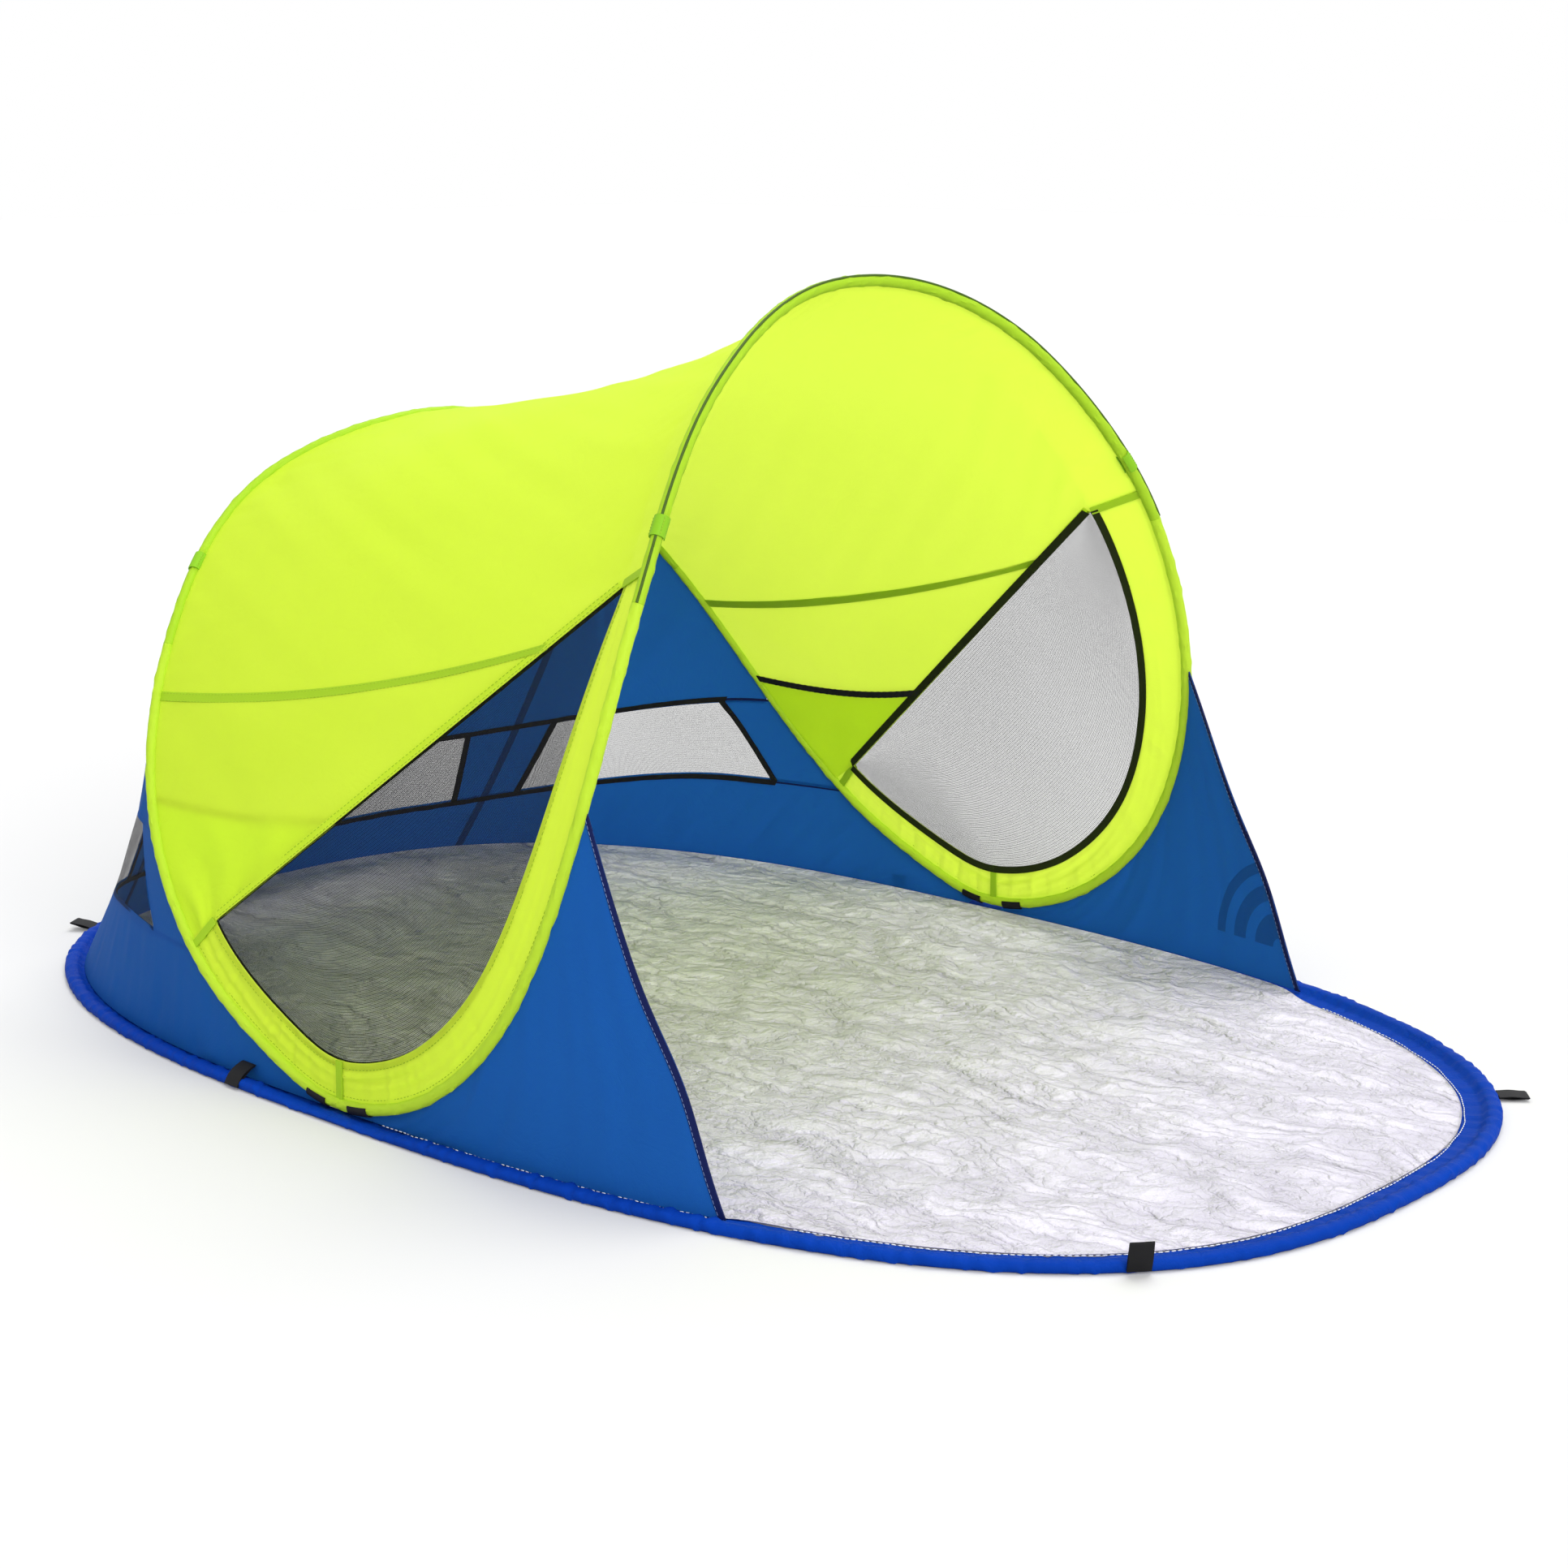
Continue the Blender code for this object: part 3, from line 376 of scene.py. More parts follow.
def folds(u, v, angle, long, wide, seed):
    """Creases that run along one direction: waves on lengths squeezed across it, then sharpened."""
    along = (u * math.cos(angle) + v * math.sin(angle)) / long
    across = (v * math.cos(angle) - u * math.sin(angle)) / wide
    height = waves(along, across, 1.0, seed)
    return np.sign(height) * np.abs(height) ** 1.5


def moved(grid, height):
    """A grid of points moved along its normals by a height at each point."""
    return grid + grid_normals(grid) * height[..., None]


def near_edges(shape, reach, sides="tblr"):
    """1 on the named edges of a grid, fading to 0 over this share of its width or height."""
    i, j = np.meshgrid(np.linspace(0, 1, shape[0]), np.linspace(0, 1, shape[1]), indexing="ij")
    away = {"t": i, "b": 1 - i, "l": j, "r": 1 - j}
    return np.max([np.exp(-away[side] / reach) for side in sides], axis=0)


def held_cloth(grid, height, hold, sides="tblr"):
    """A grid moved along its normals, less and less toward the edges that hold it."""
    return moved(grid, height * (1 - near_edges(grid.shape, hold, sides)))


def outward(grid, distance):
    """A grid moved along its normals, away from the middle of the tent if the distance is positive."""
    normal = grid_normals(grid)
    away = grid - np.array([0.0, 0.0, 0.25])
    return grid + normal * np.sign((normal * away).sum(-1).mean()) * distance


# %% [markdown]
# ## From a grid to a piece of cloth
# A grid of points becomes a mesh with a UV map in real metres, so that every weave and every
# mesh keeps its thread spacing. Cloth gets a real thickness from a Solidify modifier, which
# also closes its rim. Tubes are closed round and capped at both ends.

# %% Meshes from grids
def mesh_piece(name, points, faces, uv, finish):
    """One object at the origin from points, faces and a UV pair for each face corner."""
    mesh = bpy.data.meshes.new(name)
    shift = np.array([SETBACK, 0, 0])
    mesh.from_pydata((np.asarray(points) - shift).tolist(), [], faces)
    layer = mesh.uv_layers.new(name="cloth")
    layer.data.foreach_set("uv", np.asarray(uv, np.float32).ravel())
    mesh.shade_smooth()
    mesh.materials.append(finish)
    made = bpy.data.objects.new(name, mesh)
    bpy.context.collection.objects.link(made)
    return made


def grid_faces(rows, columns, closed=False, kept=None):
    """Quads of a grid, and the row and column of each of their corners."""
    wide = columns if closed else columns - 1
    i, j = np.meshgrid(np.arange(rows - 1), np.arange(wide), indexing="ij")
    if kept is not None:
        i, j = i[kept], j[kept]
    down = np.stack([i, i + 1, i + 1, i], -1).reshape(-1, 4)
    right = np.stack([j, j, j + 1, j + 1], -1).reshape(-1, 4)
    return down, right


def cloth(name, grid, finish, thickness=0.0007, kept=None):
    """A sheet of cloth through a grid, with its thickness from Solidify, half to each side."""
    u, v = grid_lengths(grid)
    down, right = grid_faces(*grid.shape[:2], kept=kept)
    corners = down * grid.shape[1] + right
    used, numbered = np.unique(corners, return_inverse=True)
    faces = numbered.reshape(corners.shape).tolist()
    uv = np.stack([u[down, right], v[down, right]], -1)
    made = mesh_piece(name, grid.reshape(-1, 3)[used], faces, uv, finish)
    loop_edges = np.zeros(len(made.data.loops), np.int32)
    made.data.loops.foreach_get("edge_index", loop_edges)
    border = np.bincount(loop_edges, minlength=len(made.data.edges)) == 1
    made.data.attributes.new("sharp_edge", "BOOLEAN", "EDGE").data.foreach_set("value", border)
    wall = made.modifiers.new("thickness", "SOLIDIFY")
    wall.thickness = thickness
    wall.offset = 0.0
    return made


def tube(name, sections, finish):
    """A closed skin through rows of closed sections, each a loop of points, with flat ends."""
    rows, columns = sections.shape[:2]
    round_it = np.concatenate([sections, sections[:, :1]], axis=1)
    u, v = grid_lengths(round_it)
    down, right = grid_faces(rows, columns, closed=True)
    faces = (down * columns + right % columns).tolist()
    uv = np.stack([u[down, right], v[down, right]], -1).reshape(-1, 2)
    ends = [list(range(columns))[::-1], [(rows - 1) * columns + k for k in range(columns)]]
    a, b, c, d = (sections.reshape(-1, 3)[np.array(faces)[:, k]] for k in range(4))
    if (np.cross(b - a, c - a) * a).sum() + (np.cross(c - a, d - a) * a).sum() < 0:
        faces, uv = [face[::-1] for face in faces], uv.reshape(-1, 4, 2)[:, ::-1].reshape(-1, 2)
        ends = [end[::-1] for end in ends]
    uv = np.concatenate([uv, np.zeros((2 * columns, 2))])
    made = mesh_piece(name, sections.reshape(-1, 3), faces + ends, uv, finish)
    made.data.set_sharp_from_angle(angle=math.radians(50))
    return made


def swept(points, out, side, profile):
    """Sections of a profile of (outward, sideways) pairs carried along a line of points."""
    profile = np.asarray(profile, float)
    profile = profile if profile.ndim == 3 else np.broadcast_to(profile, (len(points), *profile.shape))
    return points[:, None] + out[:, None] * profile[..., :1] + side[:, None] * profile[..., 1:]


# %% [markdown]
# ## Which part each piece moves with
# The tent folds like a book about the line through its feet. A piece rides on one packed
# body, or, where it spans two that share a joint, stays baked in place, and it stands for the
# plain CAD solid whose place it takes. The size each sheet of cloth was cut to is printed.

# %% Bodies and cut sizes
ROOF_BEND = ("rear_arch", "front_arch")
WALL_BEND = ("rear_floor", "rear_arch")
WING_BEND = ("front_floor", "front_arch")
REAR_LEG_SPAN = ((-0.05, 0, 0.010), (-0.05, 0, 0.060))


def settle(piece, body, slot, *nodes, span=None):
    """Let a piece ride on a body, or stay baked in place when given two, and stand for CAD nodes."""
    if isinstance(body, tuple):
        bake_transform(piece)
    else:
        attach(piece, body)
    if nodes:
        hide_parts(*nodes)


def cut_from(piece, grid):
    """Print a sheet's flat size: its longest row and column, and the real area of its cells."""
    wide = np.linalg.norm(np.diff(grid, axis=1), axis=2).sum(1).max()
    long = np.linalg.norm(np.diff(grid, axis=0), axis=2).sum(0).max()
    across = grid[1:, 1:] - grid[:-1, :-1]
    first = np.cross(grid[1:, :-1] - grid[:-1, :-1], across)
    second = np.cross(across, grid[:-1, 1:] - grid[:-1, :-1])
    area = float(((np.linalg.norm(first, axis=2) + np.linalg.norm(second, axis=2)) / 2).sum())
    area = max(0.3 * wide * long, min(area, wide * long))
    print(f"{piece.name}: {wide * 1000:.0f} x {long * 1000:.0f} mm, {area:.3f} m2")


def make_sheet(name, grid, mirror, finish, body, node, thickness=0.0007):
    """A sheet of cloth on one side of the tent, settled on its body, with its cut size printed."""
    piece = cloth(name, mirrored(grid, mirror), finish, thickness)
    settle(piece, body, finish.name.split(".")[0], node)
    cut_from(piece, grid)


# %% [markdown]
# ## Cloth materials
# Tent cloth is plain-woven polyester. Its threads are about 0.2 mm, too fine to show from
# three metres, so they are drawn 2 mm apart as a faint bump. A slow noise makes the shallow
# creases that folded cloth keeps. Bright thin cloth lets light through, which is why the
# inside of the roof glows: a Translucent shader shares the surface with the Principled one.

# %% Woven cloth
THREAD_PITCH, WEAVE_HEIGHT = 2.0, 0.00004


def thread_turns(tree, pitch):
    """Angles along both directions of the cloth's UV map that turn once for each thread, in mm."""
    place = add_node(tree, "UVMap", uv_map="cloth")
    apart = add_node(tree, "SeparateXYZ", {0: place.outputs[0]})
    return [math_node(tree, "MULTIPLY", apart.outputs[k], 2 * math.pi * 1000 / pitch) for k in (0, 1)]


def woven(name, swatch, shade, roughness, crease, lets_light, thread=THREAD_PITCH, shine=0.2):
    """Plain-woven cloth: threads and creases as bump, a slow drift of shade, and light through it."""
    made, tree = empty_material(name)
    warp, weft = [math_node(tree, "SINE", turn) for turn in thread_turns(tree, thread)]
    weave = math_node(tree, "MULTIPLY", math_node(tree, "MULTIPLY", warp, weft), WEAVE_HEIGHT)
    where = add_node(tree, "TexCoord").outputs["Object"]
    soft = noise(tree, where, 16.0, 5.0, 0.62, 0.6)
    away = math_node(tree, "ABSOLUTE", math_node(tree, "SUBTRACT", soft.outputs[0], 0.5))
    sharp = math_node(tree, "POWER", away, 0.6)
    height = math_node(tree, "ADD", weave, math_node(tree, "MULTIPLY", sharp, crease))
    bump = add_node(tree, "Bump", {"Height": height, "Strength": 0.6, "Distance": 1.0}).outputs[0]
    drift = noise(tree, where, 3.0, 3.0)
    colour = mixed_colour(tree, drift.outputs[0], linear(swatch), linear(shade))
    shown = add_node(tree, "BsdfPrincipled", {"Base Color": colour, "Roughness": roughness, "Normal": bump,
                                              "Specular IOR Level": shine})
    if lets_light:
        paler = add_node(tree, "Gamma", {"Color": colour, "Gamma": 0.4})
        through = add_node(tree, "BsdfTranslucent", {"Color": paler.outputs[0], "Normal": bump})
        shown = add_node(tree, "MixShader", {0: lets_light, 1: shown.outputs[0], 2: through.outputs[0]})
    add_node(tree, "OutputMaterial", {"Surface": shown.outputs[0]})
    return made


lime_polyester = woven("lime_polyester", "#E7FC49", "#DFF840", 0.55, 0.0014, 0.60)
# Painted shade: the leg and crown sleeves are darker copies of the lime cloth.
leg_sleeve_painted_shade = woven("leg_sleeve_painted_shade", "#CFF03C", "#BDE230", 0.55, 0.0020, 0.40)
lime_sleeve_painted_shade = woven("lime_sleeve_painted_shade", "#B4DC2C", "#9FCB1F", 0.55, 0.0020, 0.25)
lime_seam = woven("lime_seam", "#B0D828", "#A2CB20", 0.6, 0.0010, 0.25)
lime_webbing = woven("lime_webbing", "#86BC1C", "#74AA16", 0.6, 0.0006, 0.0, thread=3.0)
lime_thread = woven("lime_thread", "#9DBE2A", "#93B324", 0.6, 0.0, 0.0)
blue_polyester = woven("blue_polyester", "#1B62B8", "#1656A8", 0.6, 0.0012, 0.40, shine=0.08)
blue_seam = woven("blue_seam", "#153F7C", "#123870", 0.6, 0.0006, 0.0)
hem_nylon = woven("hem_nylon", "#0A3EA8", "#062F86", 0.5, 0.0040, 0.0, shine=0.02)
navy_tape = woven("navy_tape", "#111D52", "#0D1744", 0.6, 0.0004, 0.0, shine=0.1)
black_tape = woven("black_tape", "#101012", "#17171A", 0.7, 0.0004, 0.0)
black_webbing = woven("black_webbing", "#0D0D0F", "#161619", 0.65, 0.0004, 0.0, thread=3.0)
binding_tape = woven("binding_tape", "#29320F", "#1B220B", 0.7, 0.0006, 0.0, shine=0.1)
green_cord = woven("green_cord", "#47631B", "#3B5316", 0.6, 0.0002, 0.0)
pale_thread = woven("pale_thread", "#7F93BE", "#7388B4", 0.6, 0.0, 0.0)
white_thread = woven("white_thread", "#E4E6EA", "#D8DBE0", 0.6, 0.0, 0.0)
print("woven finishes", len(bpy.data.materials))

# %% [markdown]
# The windows are knitted insect mesh with threads 1.3 mm apart. The threads are opaque and the
# holes are clear, so from a few metres the mesh reads as a grey veil. The floor is woven
# polyethylene with a silver coat: pale, a little shiny, and creased all over from folding.

# %% Mesh, silver floor and spring steel
MESH_PITCH, THREAD_EDGE, THREAD_KNIT = 1.3, 0.79, 0.10
# Each layer of creases has a scale, a height and a turn of its cells.
CREASES = ((6.0, 0.0150, 0.5), (13.0, 0.0080, 2.2), (30.0, 0.0052, 0.9))
CREASE_STRETCH = (0.32, 1.3, 1.0)
STEEL_NODES = ("floor_wire_front", "floor_wire_rear", "front_crown_wire", "rear_crown_wire",
               "canopy_ferrule", "floor_ferrule")


def knitted_mesh():
    """Insect mesh: Alpha is 1 on a grid of threads, where a cosine across them is near its top."""
    made, tree = empty_material("black_mesh")
    lines = []
    for turn, knit in zip(thread_turns(tree, MESH_PITCH), (0.0, THREAD_KNIT)):
        top = math_node(tree, "SUBTRACT", math_node(tree, "COSINE", turn), THREAD_EDGE)
        loops = math_node(tree, "COSINE", math_node(tree, "MULTIPLY", turn, 0.5))
        top = math_node(tree, "ADD", top, math_node(tree, "MULTIPLY", loops, knit))
        lines.append(math_node(tree, "MULTIPLY", top, 12.0, clamp=True))
    skin = add_node(tree, "BsdfPrincipled", {"Base Color": linear("#151517"), "Roughness": 0.8,
                                             "Specular IOR Level": 0.1,
                                             "Alpha": math_node(tree, "MAXIMUM", *lines)})
    add_node(tree, "OutputMaterial", {"Surface": skin.outputs[0]})
    return made


def silver_sheet():
    """Silver-coated floor: creases from the edges of long bent cells, with painted shade along them."""
    made, tree = empty_material("silver_floor")
    where = add_node(tree, "TexCoord").outputs["Object"]
    bent = noise(tree, where, 5.0, 6.0, 0.6).outputs["Color"]
    mixed = add_node(tree, "Mix", {"Factor": 0.13, 4: where, 5: bent}, data_type="VECTOR")
    height, dark = None, None
    for size, share, turn in CREASES:
        drawn = add_node(tree, "Mapping", {"Vector": mixed.outputs[1], "Rotation": (0, 0, turn),
                                           "Scale": CREASE_STRETCH})
        cells = add_node(tree, "TexVoronoi", {"Vector": drawn.outputs[0], "Scale": size},
                         feature="DISTANCE_TO_EDGE").outputs["Distance"]
        part = math_node(tree, "MULTIPLY", math_node(tree, "POWER", cells, 0.6), share)
        line = math_node(tree, "MULTIPLY", cells, 9.0, clamp=True)
        height = math_node(tree, "ADD", height, part) if height else part
        dark = math_node(tree, "MULTIPLY", dark, math_node(tree, "MAXIMUM", line, 0.4)) if dark else line
    fine = noise(tree, where, 60.0, 6.0, 0.65)
    height = math_node(tree, "ADD", height, math_node(tree, "MULTIPLY", fine.outputs[0], 0.0045))
    bump = add_node(tree, "Bump", {"Height": height, "Strength": 1.0, "Distance": 1.0})
    drift = noise(tree, where, 24.0, 8.0, 0.7)
    grey = mixed_colour(tree, drift.outputs[0], linear("#BCB7C8"), linear("#E4E0EE"))
    # Painted shade: the coat is mixed toward dark grey along the crease lines.
    painted_crease_shade = math_node(tree, "ADD", math_node(tree, "MULTIPLY", dark, 0.28), 0.72)
    coat = mixed_colour(tree, painted_crease_shade, linear("#77747F"), grey)
    skin = add_node(tree, "BsdfPrincipled", {"Base Color": coat, "Roughness": 0.55, "Normal": bump.outputs[0],
                                             "Specular IOR Level": 0.3})
    add_node(tree, "OutputMaterial", {"Surface": skin.outputs[0]})
    return made


def spring_steel():
    """Drawn and tempered wire: grey metal with a slight drift of polish."""
    made, tree = empty_material("spring_steel")
    drift = noise(tree, add_node(tree, "TexCoord").outputs["Object"], 90.0, 3.0)
    polish = math_node(tree, "ADD", math_node(tree, "MULTIPLY", drift.outputs[0], 0.2), 0.22)
    skin = add_node(tree, "BsdfPrincipled", {"Base Color": linear("#B9BBBF"), "Metallic": 1.0,
                                             "Roughness": polish})
    add_node(tree, "OutputMaterial", {"Surface": skin.outputs[0]})
    return made


black_mesh, silver_floor, steel = knitted_mesh(), silver_sheet(), spring_steel()
for name in STEEL_NODES:
    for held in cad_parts[name].material_slots:
        held.material = steel
print("mesh threads", MESH_PITCH, "mm apart")

# %% [markdown]
# ## Stitches
# A seam reads as a seam because of its stitches. Each stitch is one short thread with tapered
# ends, half sunk in the cloth, and a whole seam of them is one mesh.

# %% Rows of stitches
def stitches(name, path, normal, finish, pitch=0.006, length=0.0042, width=0.0008):
    """Short threads along a path: a spindle of four-sided rings set at even steps along it."""
    lengths = line_lengths(path)
    normal = np.broadcast_to(normal, path.shape)
    middles = np.arange(pitch, lengths[-1] - pitch / 2, pitch)
    centre = polyline_at(path, middles)
    along = unit(polyline_at(path, middles + pitch / 4) - polyline_at(path, middles - pitch / 4))
    up = unit(np.stack([np.interp(middles, lengths, axis) for axis in normal.T], -1))
    side = unit(np.cross(along, up))
    up = np.cross(side, along)
    steps, radii = np.array([-0.5, -0.3, 0.3, 0.5]) * length, np.array([0.25, 1, 1, 0.25]) * width / 2
    turns = np.radians([0, 90, 180, 270])
    ring = np.cos(turns)[:, None] * side[:, None, None] + np.sin(turns)[:, None] * up[:, None, None]
    points = centre[:, None, None] + along[:, None, None] * steps[:, None, None] + ring * radii[:, None, None]
    base = np.arange(len(middles))[:, None, None] * 16
    i, j = np.meshgrid(np.arange(3), np.arange(4), indexing="ij")
    a = (i * 4 + j).ravel()
    b = (i * 4 + (j + 1) % 4).ravel()
    quads = base + np.stack([a, b, b + 4, a + 4], -1)[None]
    caps = base + np.array([[3, 2, 1, 0], [12, 13, 14, 15]])[None]
    faces = np.concatenate([quads, caps], 1).reshape(-1, 4)
    return mesh_piece(name, points.reshape(-1, 3), faces.tolist(), np.zeros((faces.size, 2)), finish)


def sew(name, line, normal, mirror, finish, body, slot, *sizes):
    """A row of stitches on one side of the tent, settled; its sizes are pitch, length and width."""
    settle(stitches(name, mirrored(line, mirror), mirrored(normal, mirror), finish, *sizes), body, slot)


# %% [markdown]
# ## Floor
# The hem is a flat sleeve, fuller at its outer edge where the wire runs. The wire pushes it
# out and the stitches draw it in, so it puckers. The silver sheet is sewn to it, and inside
# the walls and wings it runs on over the hem to their foot.

# %% Hem sleeve
HEM_SHAPE = np.array([
    (0.0, 0.48), (0.02, 0.22), (0.07, 0.05), (0.16, 0.0), (0.5, 0.0), (0.9, 0.0), (1.0, 0.02), (1.0, 0.16),
    (0.97, 0.24), (0.88, 0.30), (0.74, 0.36), (0.60, 0.45), (0.48, 0.60), (0.40, 0.80), (0.31, 0.95),
    (0.22, 1.0), (0.13, 0.97), (0.06, 0.85), (0.02, 0.68),
])


def half_ring(which, count):
    """Angles from the -Y foot to the +Y foot, round the front or the rear of the floor."""
    return np.linspace(-math.pi / 2 if which == "front" else math.pi * 3 / 2, math.pi / 2, count)


def from_front(angles):
    """Size of the angles between these directions and +X."""
    return np.abs((angles + math.pi) % (2 * math.pi) - math.pi)


def hem_top(inset):
    """Height of the hem's upper side this far in from its outer edge."""
    upper = HEM_SHAPE[7:][::-1]
    return np.interp(np.asarray(inset) / HEM_WIDTH, upper[:, 0], upper[:, 1]) * HEM_THICKNESS


def make_hem(which):
    """Hem sleeve: the outline carried round the half ring, puckered between stitches."""
    angles = half_ring(which, 601)
    edge, out = ring_point(angles, 0.0, 0.0)
    edge[[0, -1], 0] = FACE_GAP if which == "front" else -FACE_GAP
    out[[0, -1]] = unit(out[[0, -1]] * [0, 1, 0])
    inset, rise = HEM_SHAPE.T
    run, across = np.broadcast_arrays(line_lengths(edge)[:, None], inset * HEM_WIDTH)
    pucker = folds(run, across, 1.35, 0.10, 0.016, 11 if which == "front" else 12)
    drawn = folds(run, across, 1.2, 0.05, 0.030, 13)
    lift = (0.0012 * pucker + 0.0008 * drawn) * (rise > 0.1)
    inner = inset > 0.45
    lift = np.where(inner, np.clip(lift, -0.0015, 0.0010), np.clip(lift, -0.0025, 0.0020))
    from_foot = np.abs(np.degrees(from_front(angles)) - 90)[:, None]
    rolled = 1 + 0.55 * np.clip((from_foot - 7) / 7, 0, 1) * ~inner * (rise > 0.4)
    reach = across + 0.0012 * waves(run, 0 * across, 0.06, 14) * (inset > 0.9)
    high = rise * HEM_THICKNESS + lift * (1 - 0.6 * (rise > 0.9))
    high = np.clip(high, 0, HEM_THICKNESS + 0.0004) * rolled
    sections = edge[:, None] - out[:, None] * reach[..., None] + np.array([0, 0, 1]) * high[..., None]
    sections[[0, -1], :, 0] = edge[[0, -1], 0][:, None]
    piece = tube(f"{which}_hem_sleeve", sections, hem_nylon)
    settle(piece, f"{which}_floor", "hem_blue_nylon", f"hem_{which}")


for which in ("front", "rear"):
    make_hem(which)


# %% Silver floor sheet
FLOOR_COLUMNS, FLAT_ROWS, RISE_ROWS = 301, 130, 8
FLOOR_LEVEL, FLOOR_TUCK = 0.0022, 0.028


def floor_edge(angles):
    """How far in the silver sheet ends: at the hem's inner edge, or at the foot of a wall or wing."""
    wing = math.atan2(HALF_WIDTH, WING_CORNER)
    open_front = 1 / (1 + np.exp((from_front(angles) - wing) / math.radians(0.8)))
    return FLOOR_TUCK + (HEM_WIDTH - FLOOR_TUCK) * open_front


def make_floor(which):
    """Floor sheet: straight lines from the fold at the foot line to the edge, creased upward."""
    angles = half_ring(which, FLOOR_COLUMNS)
    inset = floor_edge(angles)
    rim, _ = ring_point(angles, inset, hem_top(inset) + 0.0024)
    inner, _ = ring_point(angles, HEM_WIDTH + 0.001, FLOOR_LEVEL)
    half_fold = np.abs(inner[:, 1]).max()
    fold = np.stack([0 * angles, half_fold * np.sin(angles), 0 * angles + FLOOR_LEVEL], -1)
    flat = between(fold, inner, np.linspace(0, 1, FLAT_ROWS)[:, None])
    rise = between(inner, rim, np.linspace(0, 1, RISE_ROWS)[1:, None])
    grid = np.concatenate([flat, rise])
    grid[:, [0, -1], 0] = 0
    x, y = grid[..., 0], grid[..., 1]
    crease = 1 - np.abs(waves(x, y, 0.22, 21))
    small = 1 - np.abs(waves(x, y, 0.07, 22))
    tuck = np.clip((FLAT_ROWS + 2 - np.arange(len(grid))[:, None]) / 14, 0, 1)
    grid[..., 2] += (0.0036 * np.clip(crease, 0, 1) ** 4 + 0.0020 * np.clip(small, 0, 1) ** 3) * tuck
    make_sheet(f"{which}_floor_cloth", grid, 1, silver_floor, f"{which}_floor", f"floor_sheet_{which}",
               0.0005)


def make_hem_stitches():
    """White stitches on the front hem: a wavy row round the open front, and one beside each wing."""
    angles = half_ring("front", FLOOR_COLUMNS)
    angles = angles[np.abs(angles) < math.radians(42)]
    shaky = 0.0035 + 0.0012 * waves(angles * 4, 0 * angles, 0.3, 31)
    line, _ = ring_point(angles, HEM_WIDTH - shaky, 0.0031)
    sew("front_hem_stitches", line, [0, 0, 1], 1, white_thread, "front_floor", "hem_blue_nylon",
        0.007, 0.0052, 0.0014)
    for label, side in SIDES:
        angles = side * np.radians(np.linspace(46, 84, 200))
        line, _ = ring_point(angles, 0.0235 + 0.0010 * waves(angles * 4, 0 * angles, 0.2, 32), 0.0070)
        sew(f"hem_side_stitches_{label}", line, [0, 0, 1], 1, white_thread, "front_floor",
            "hem_blue_nylon", 0.007, 0.0050, 0.0014)


make_floor("front")
make_hem_stitches()
make_floor("rear")

# %% [markdown]
# ## Arch sleeves
# The canopy wire slides into a narrow lime sleeve: one crown and two legs on each arch. The
# sleeve is a tube carried along the arch, a little uneven because it is gathered on the wire.
# A dark cord of piping is sewn along the front crown.

# %% Sleeves on the canopy ring
ARCH_COUNT, SLEEVE_SIDES = 1201, 20
PIPING_RADIUS, PIPING_TURN = 0.0015, 58


def circle(radius, count):
    """Points round a circle, as (outward, sideways) pairs."""
    turns = np.linspace(0, 2 * math.pi, count, endpoint=False)
    return radius * np.stack([np.cos(turns), np.sin(turns)], -1)


def arch_frames(which):
    """Points of a whole arch with their outward and sideways unit vectors and directions."""
    points = arch_line(which, np.linspace(-1, 1, ARCH_COUNT))
    along = unit(np.gradient(points, axis=0))
    sign = 1 if which == "front" else -1
    along[0], along[-1] = [sign, 0, 0], [-sign, 0, 0]
    side = unit(np.cross(along, arch_outward(points)))
    return points, np.cross(side, along), side, along


def make_piping(points, out, side):
    """Dark cord along the front crown, turned from the front side of its sleeve toward the outside."""
    turned = math.radians(PIPING_TURN)
    away = side * np.sign(side[:, :1]) * math.cos(turned) + out * math.sin(turned)
    line = swept(points + away * SLEEVE_RADIUS, out, side, circle(PIPING_RADIUS, 8))
    settle(tube("front_crown_piping_cord", line, green_cord), "front_arch", "green_piping",
           "front_crown_piping")


def make_sleeve(which):
    """Sleeves of one arch, whose radius swells and sinks with gathers, and the wires in its legs."""
    points, out, side, along = arch_frames(which)
    turns = np.linspace(0, 2 * math.pi, SLEEVE_SIDES, endpoint=False)
    u, v = np.broadcast_arrays(line_lengths(points)[:, None], 0.08 * turns)
    radius = SLEEVE_RADIUS - 0.0003 + 0.0007 * folds(u, v, 0.9, 0.06, 0.02, 41)
    sections = swept(points, out, side, radius[..., None] * circle(1, SLEEVE_SIDES))
    wires = swept(points, out, side, circle(WIRE_RADIUS, SLEEVE_SIDES // 2))
    last = ARCH_COUNT - 1
    third = last // 3
    parts = {"leg_right": (0, third), "crown": (third, last - third), "leg_left": (last - third, last)}
    for name, (start, end) in parts.items():
        part = sections[start:end + 1].copy()
        part[0] += along[start] * FACE_GAP
        part[-1] -= along[end] * FACE_GAP
        body = WALL_BEND if which == "rear" and name != "crown" else f"{which}_arch"
        piece = tube(f"{which}_{name}_cloth", part, lime_sleeve_painted_shade if name == "crown" else leg_sleeve_painted_shade)
        settle(piece, body, "lime_polyester", f"{which}_{name}_sleeve", span=REAR_LEG_SPAN)
        if name != "crown":
            label = name.split("_")[-1]
            nodes = (f"foot_wire_{label}",) if which == "rear" else ()
            wire = tube(f"{which}_foot_wire_{label}", wires[start:end + 1], steel)
            settle(wire, body, "spring_steel", *nodes, span=REAR_LEG_SPAN)
        elif which == "front":
            make_piping(*(rows[start:end + 1] for rows in (points, out, side)))


for which in ("front", "rear"):
    make_sleeve(which)


# %% [markdown]
# Webbing tabs hold the two rings together when the tent is packed, and black webbing ties the
# canopy ring down on the hem at each foot. Both are flat bands bent round the sleeve.

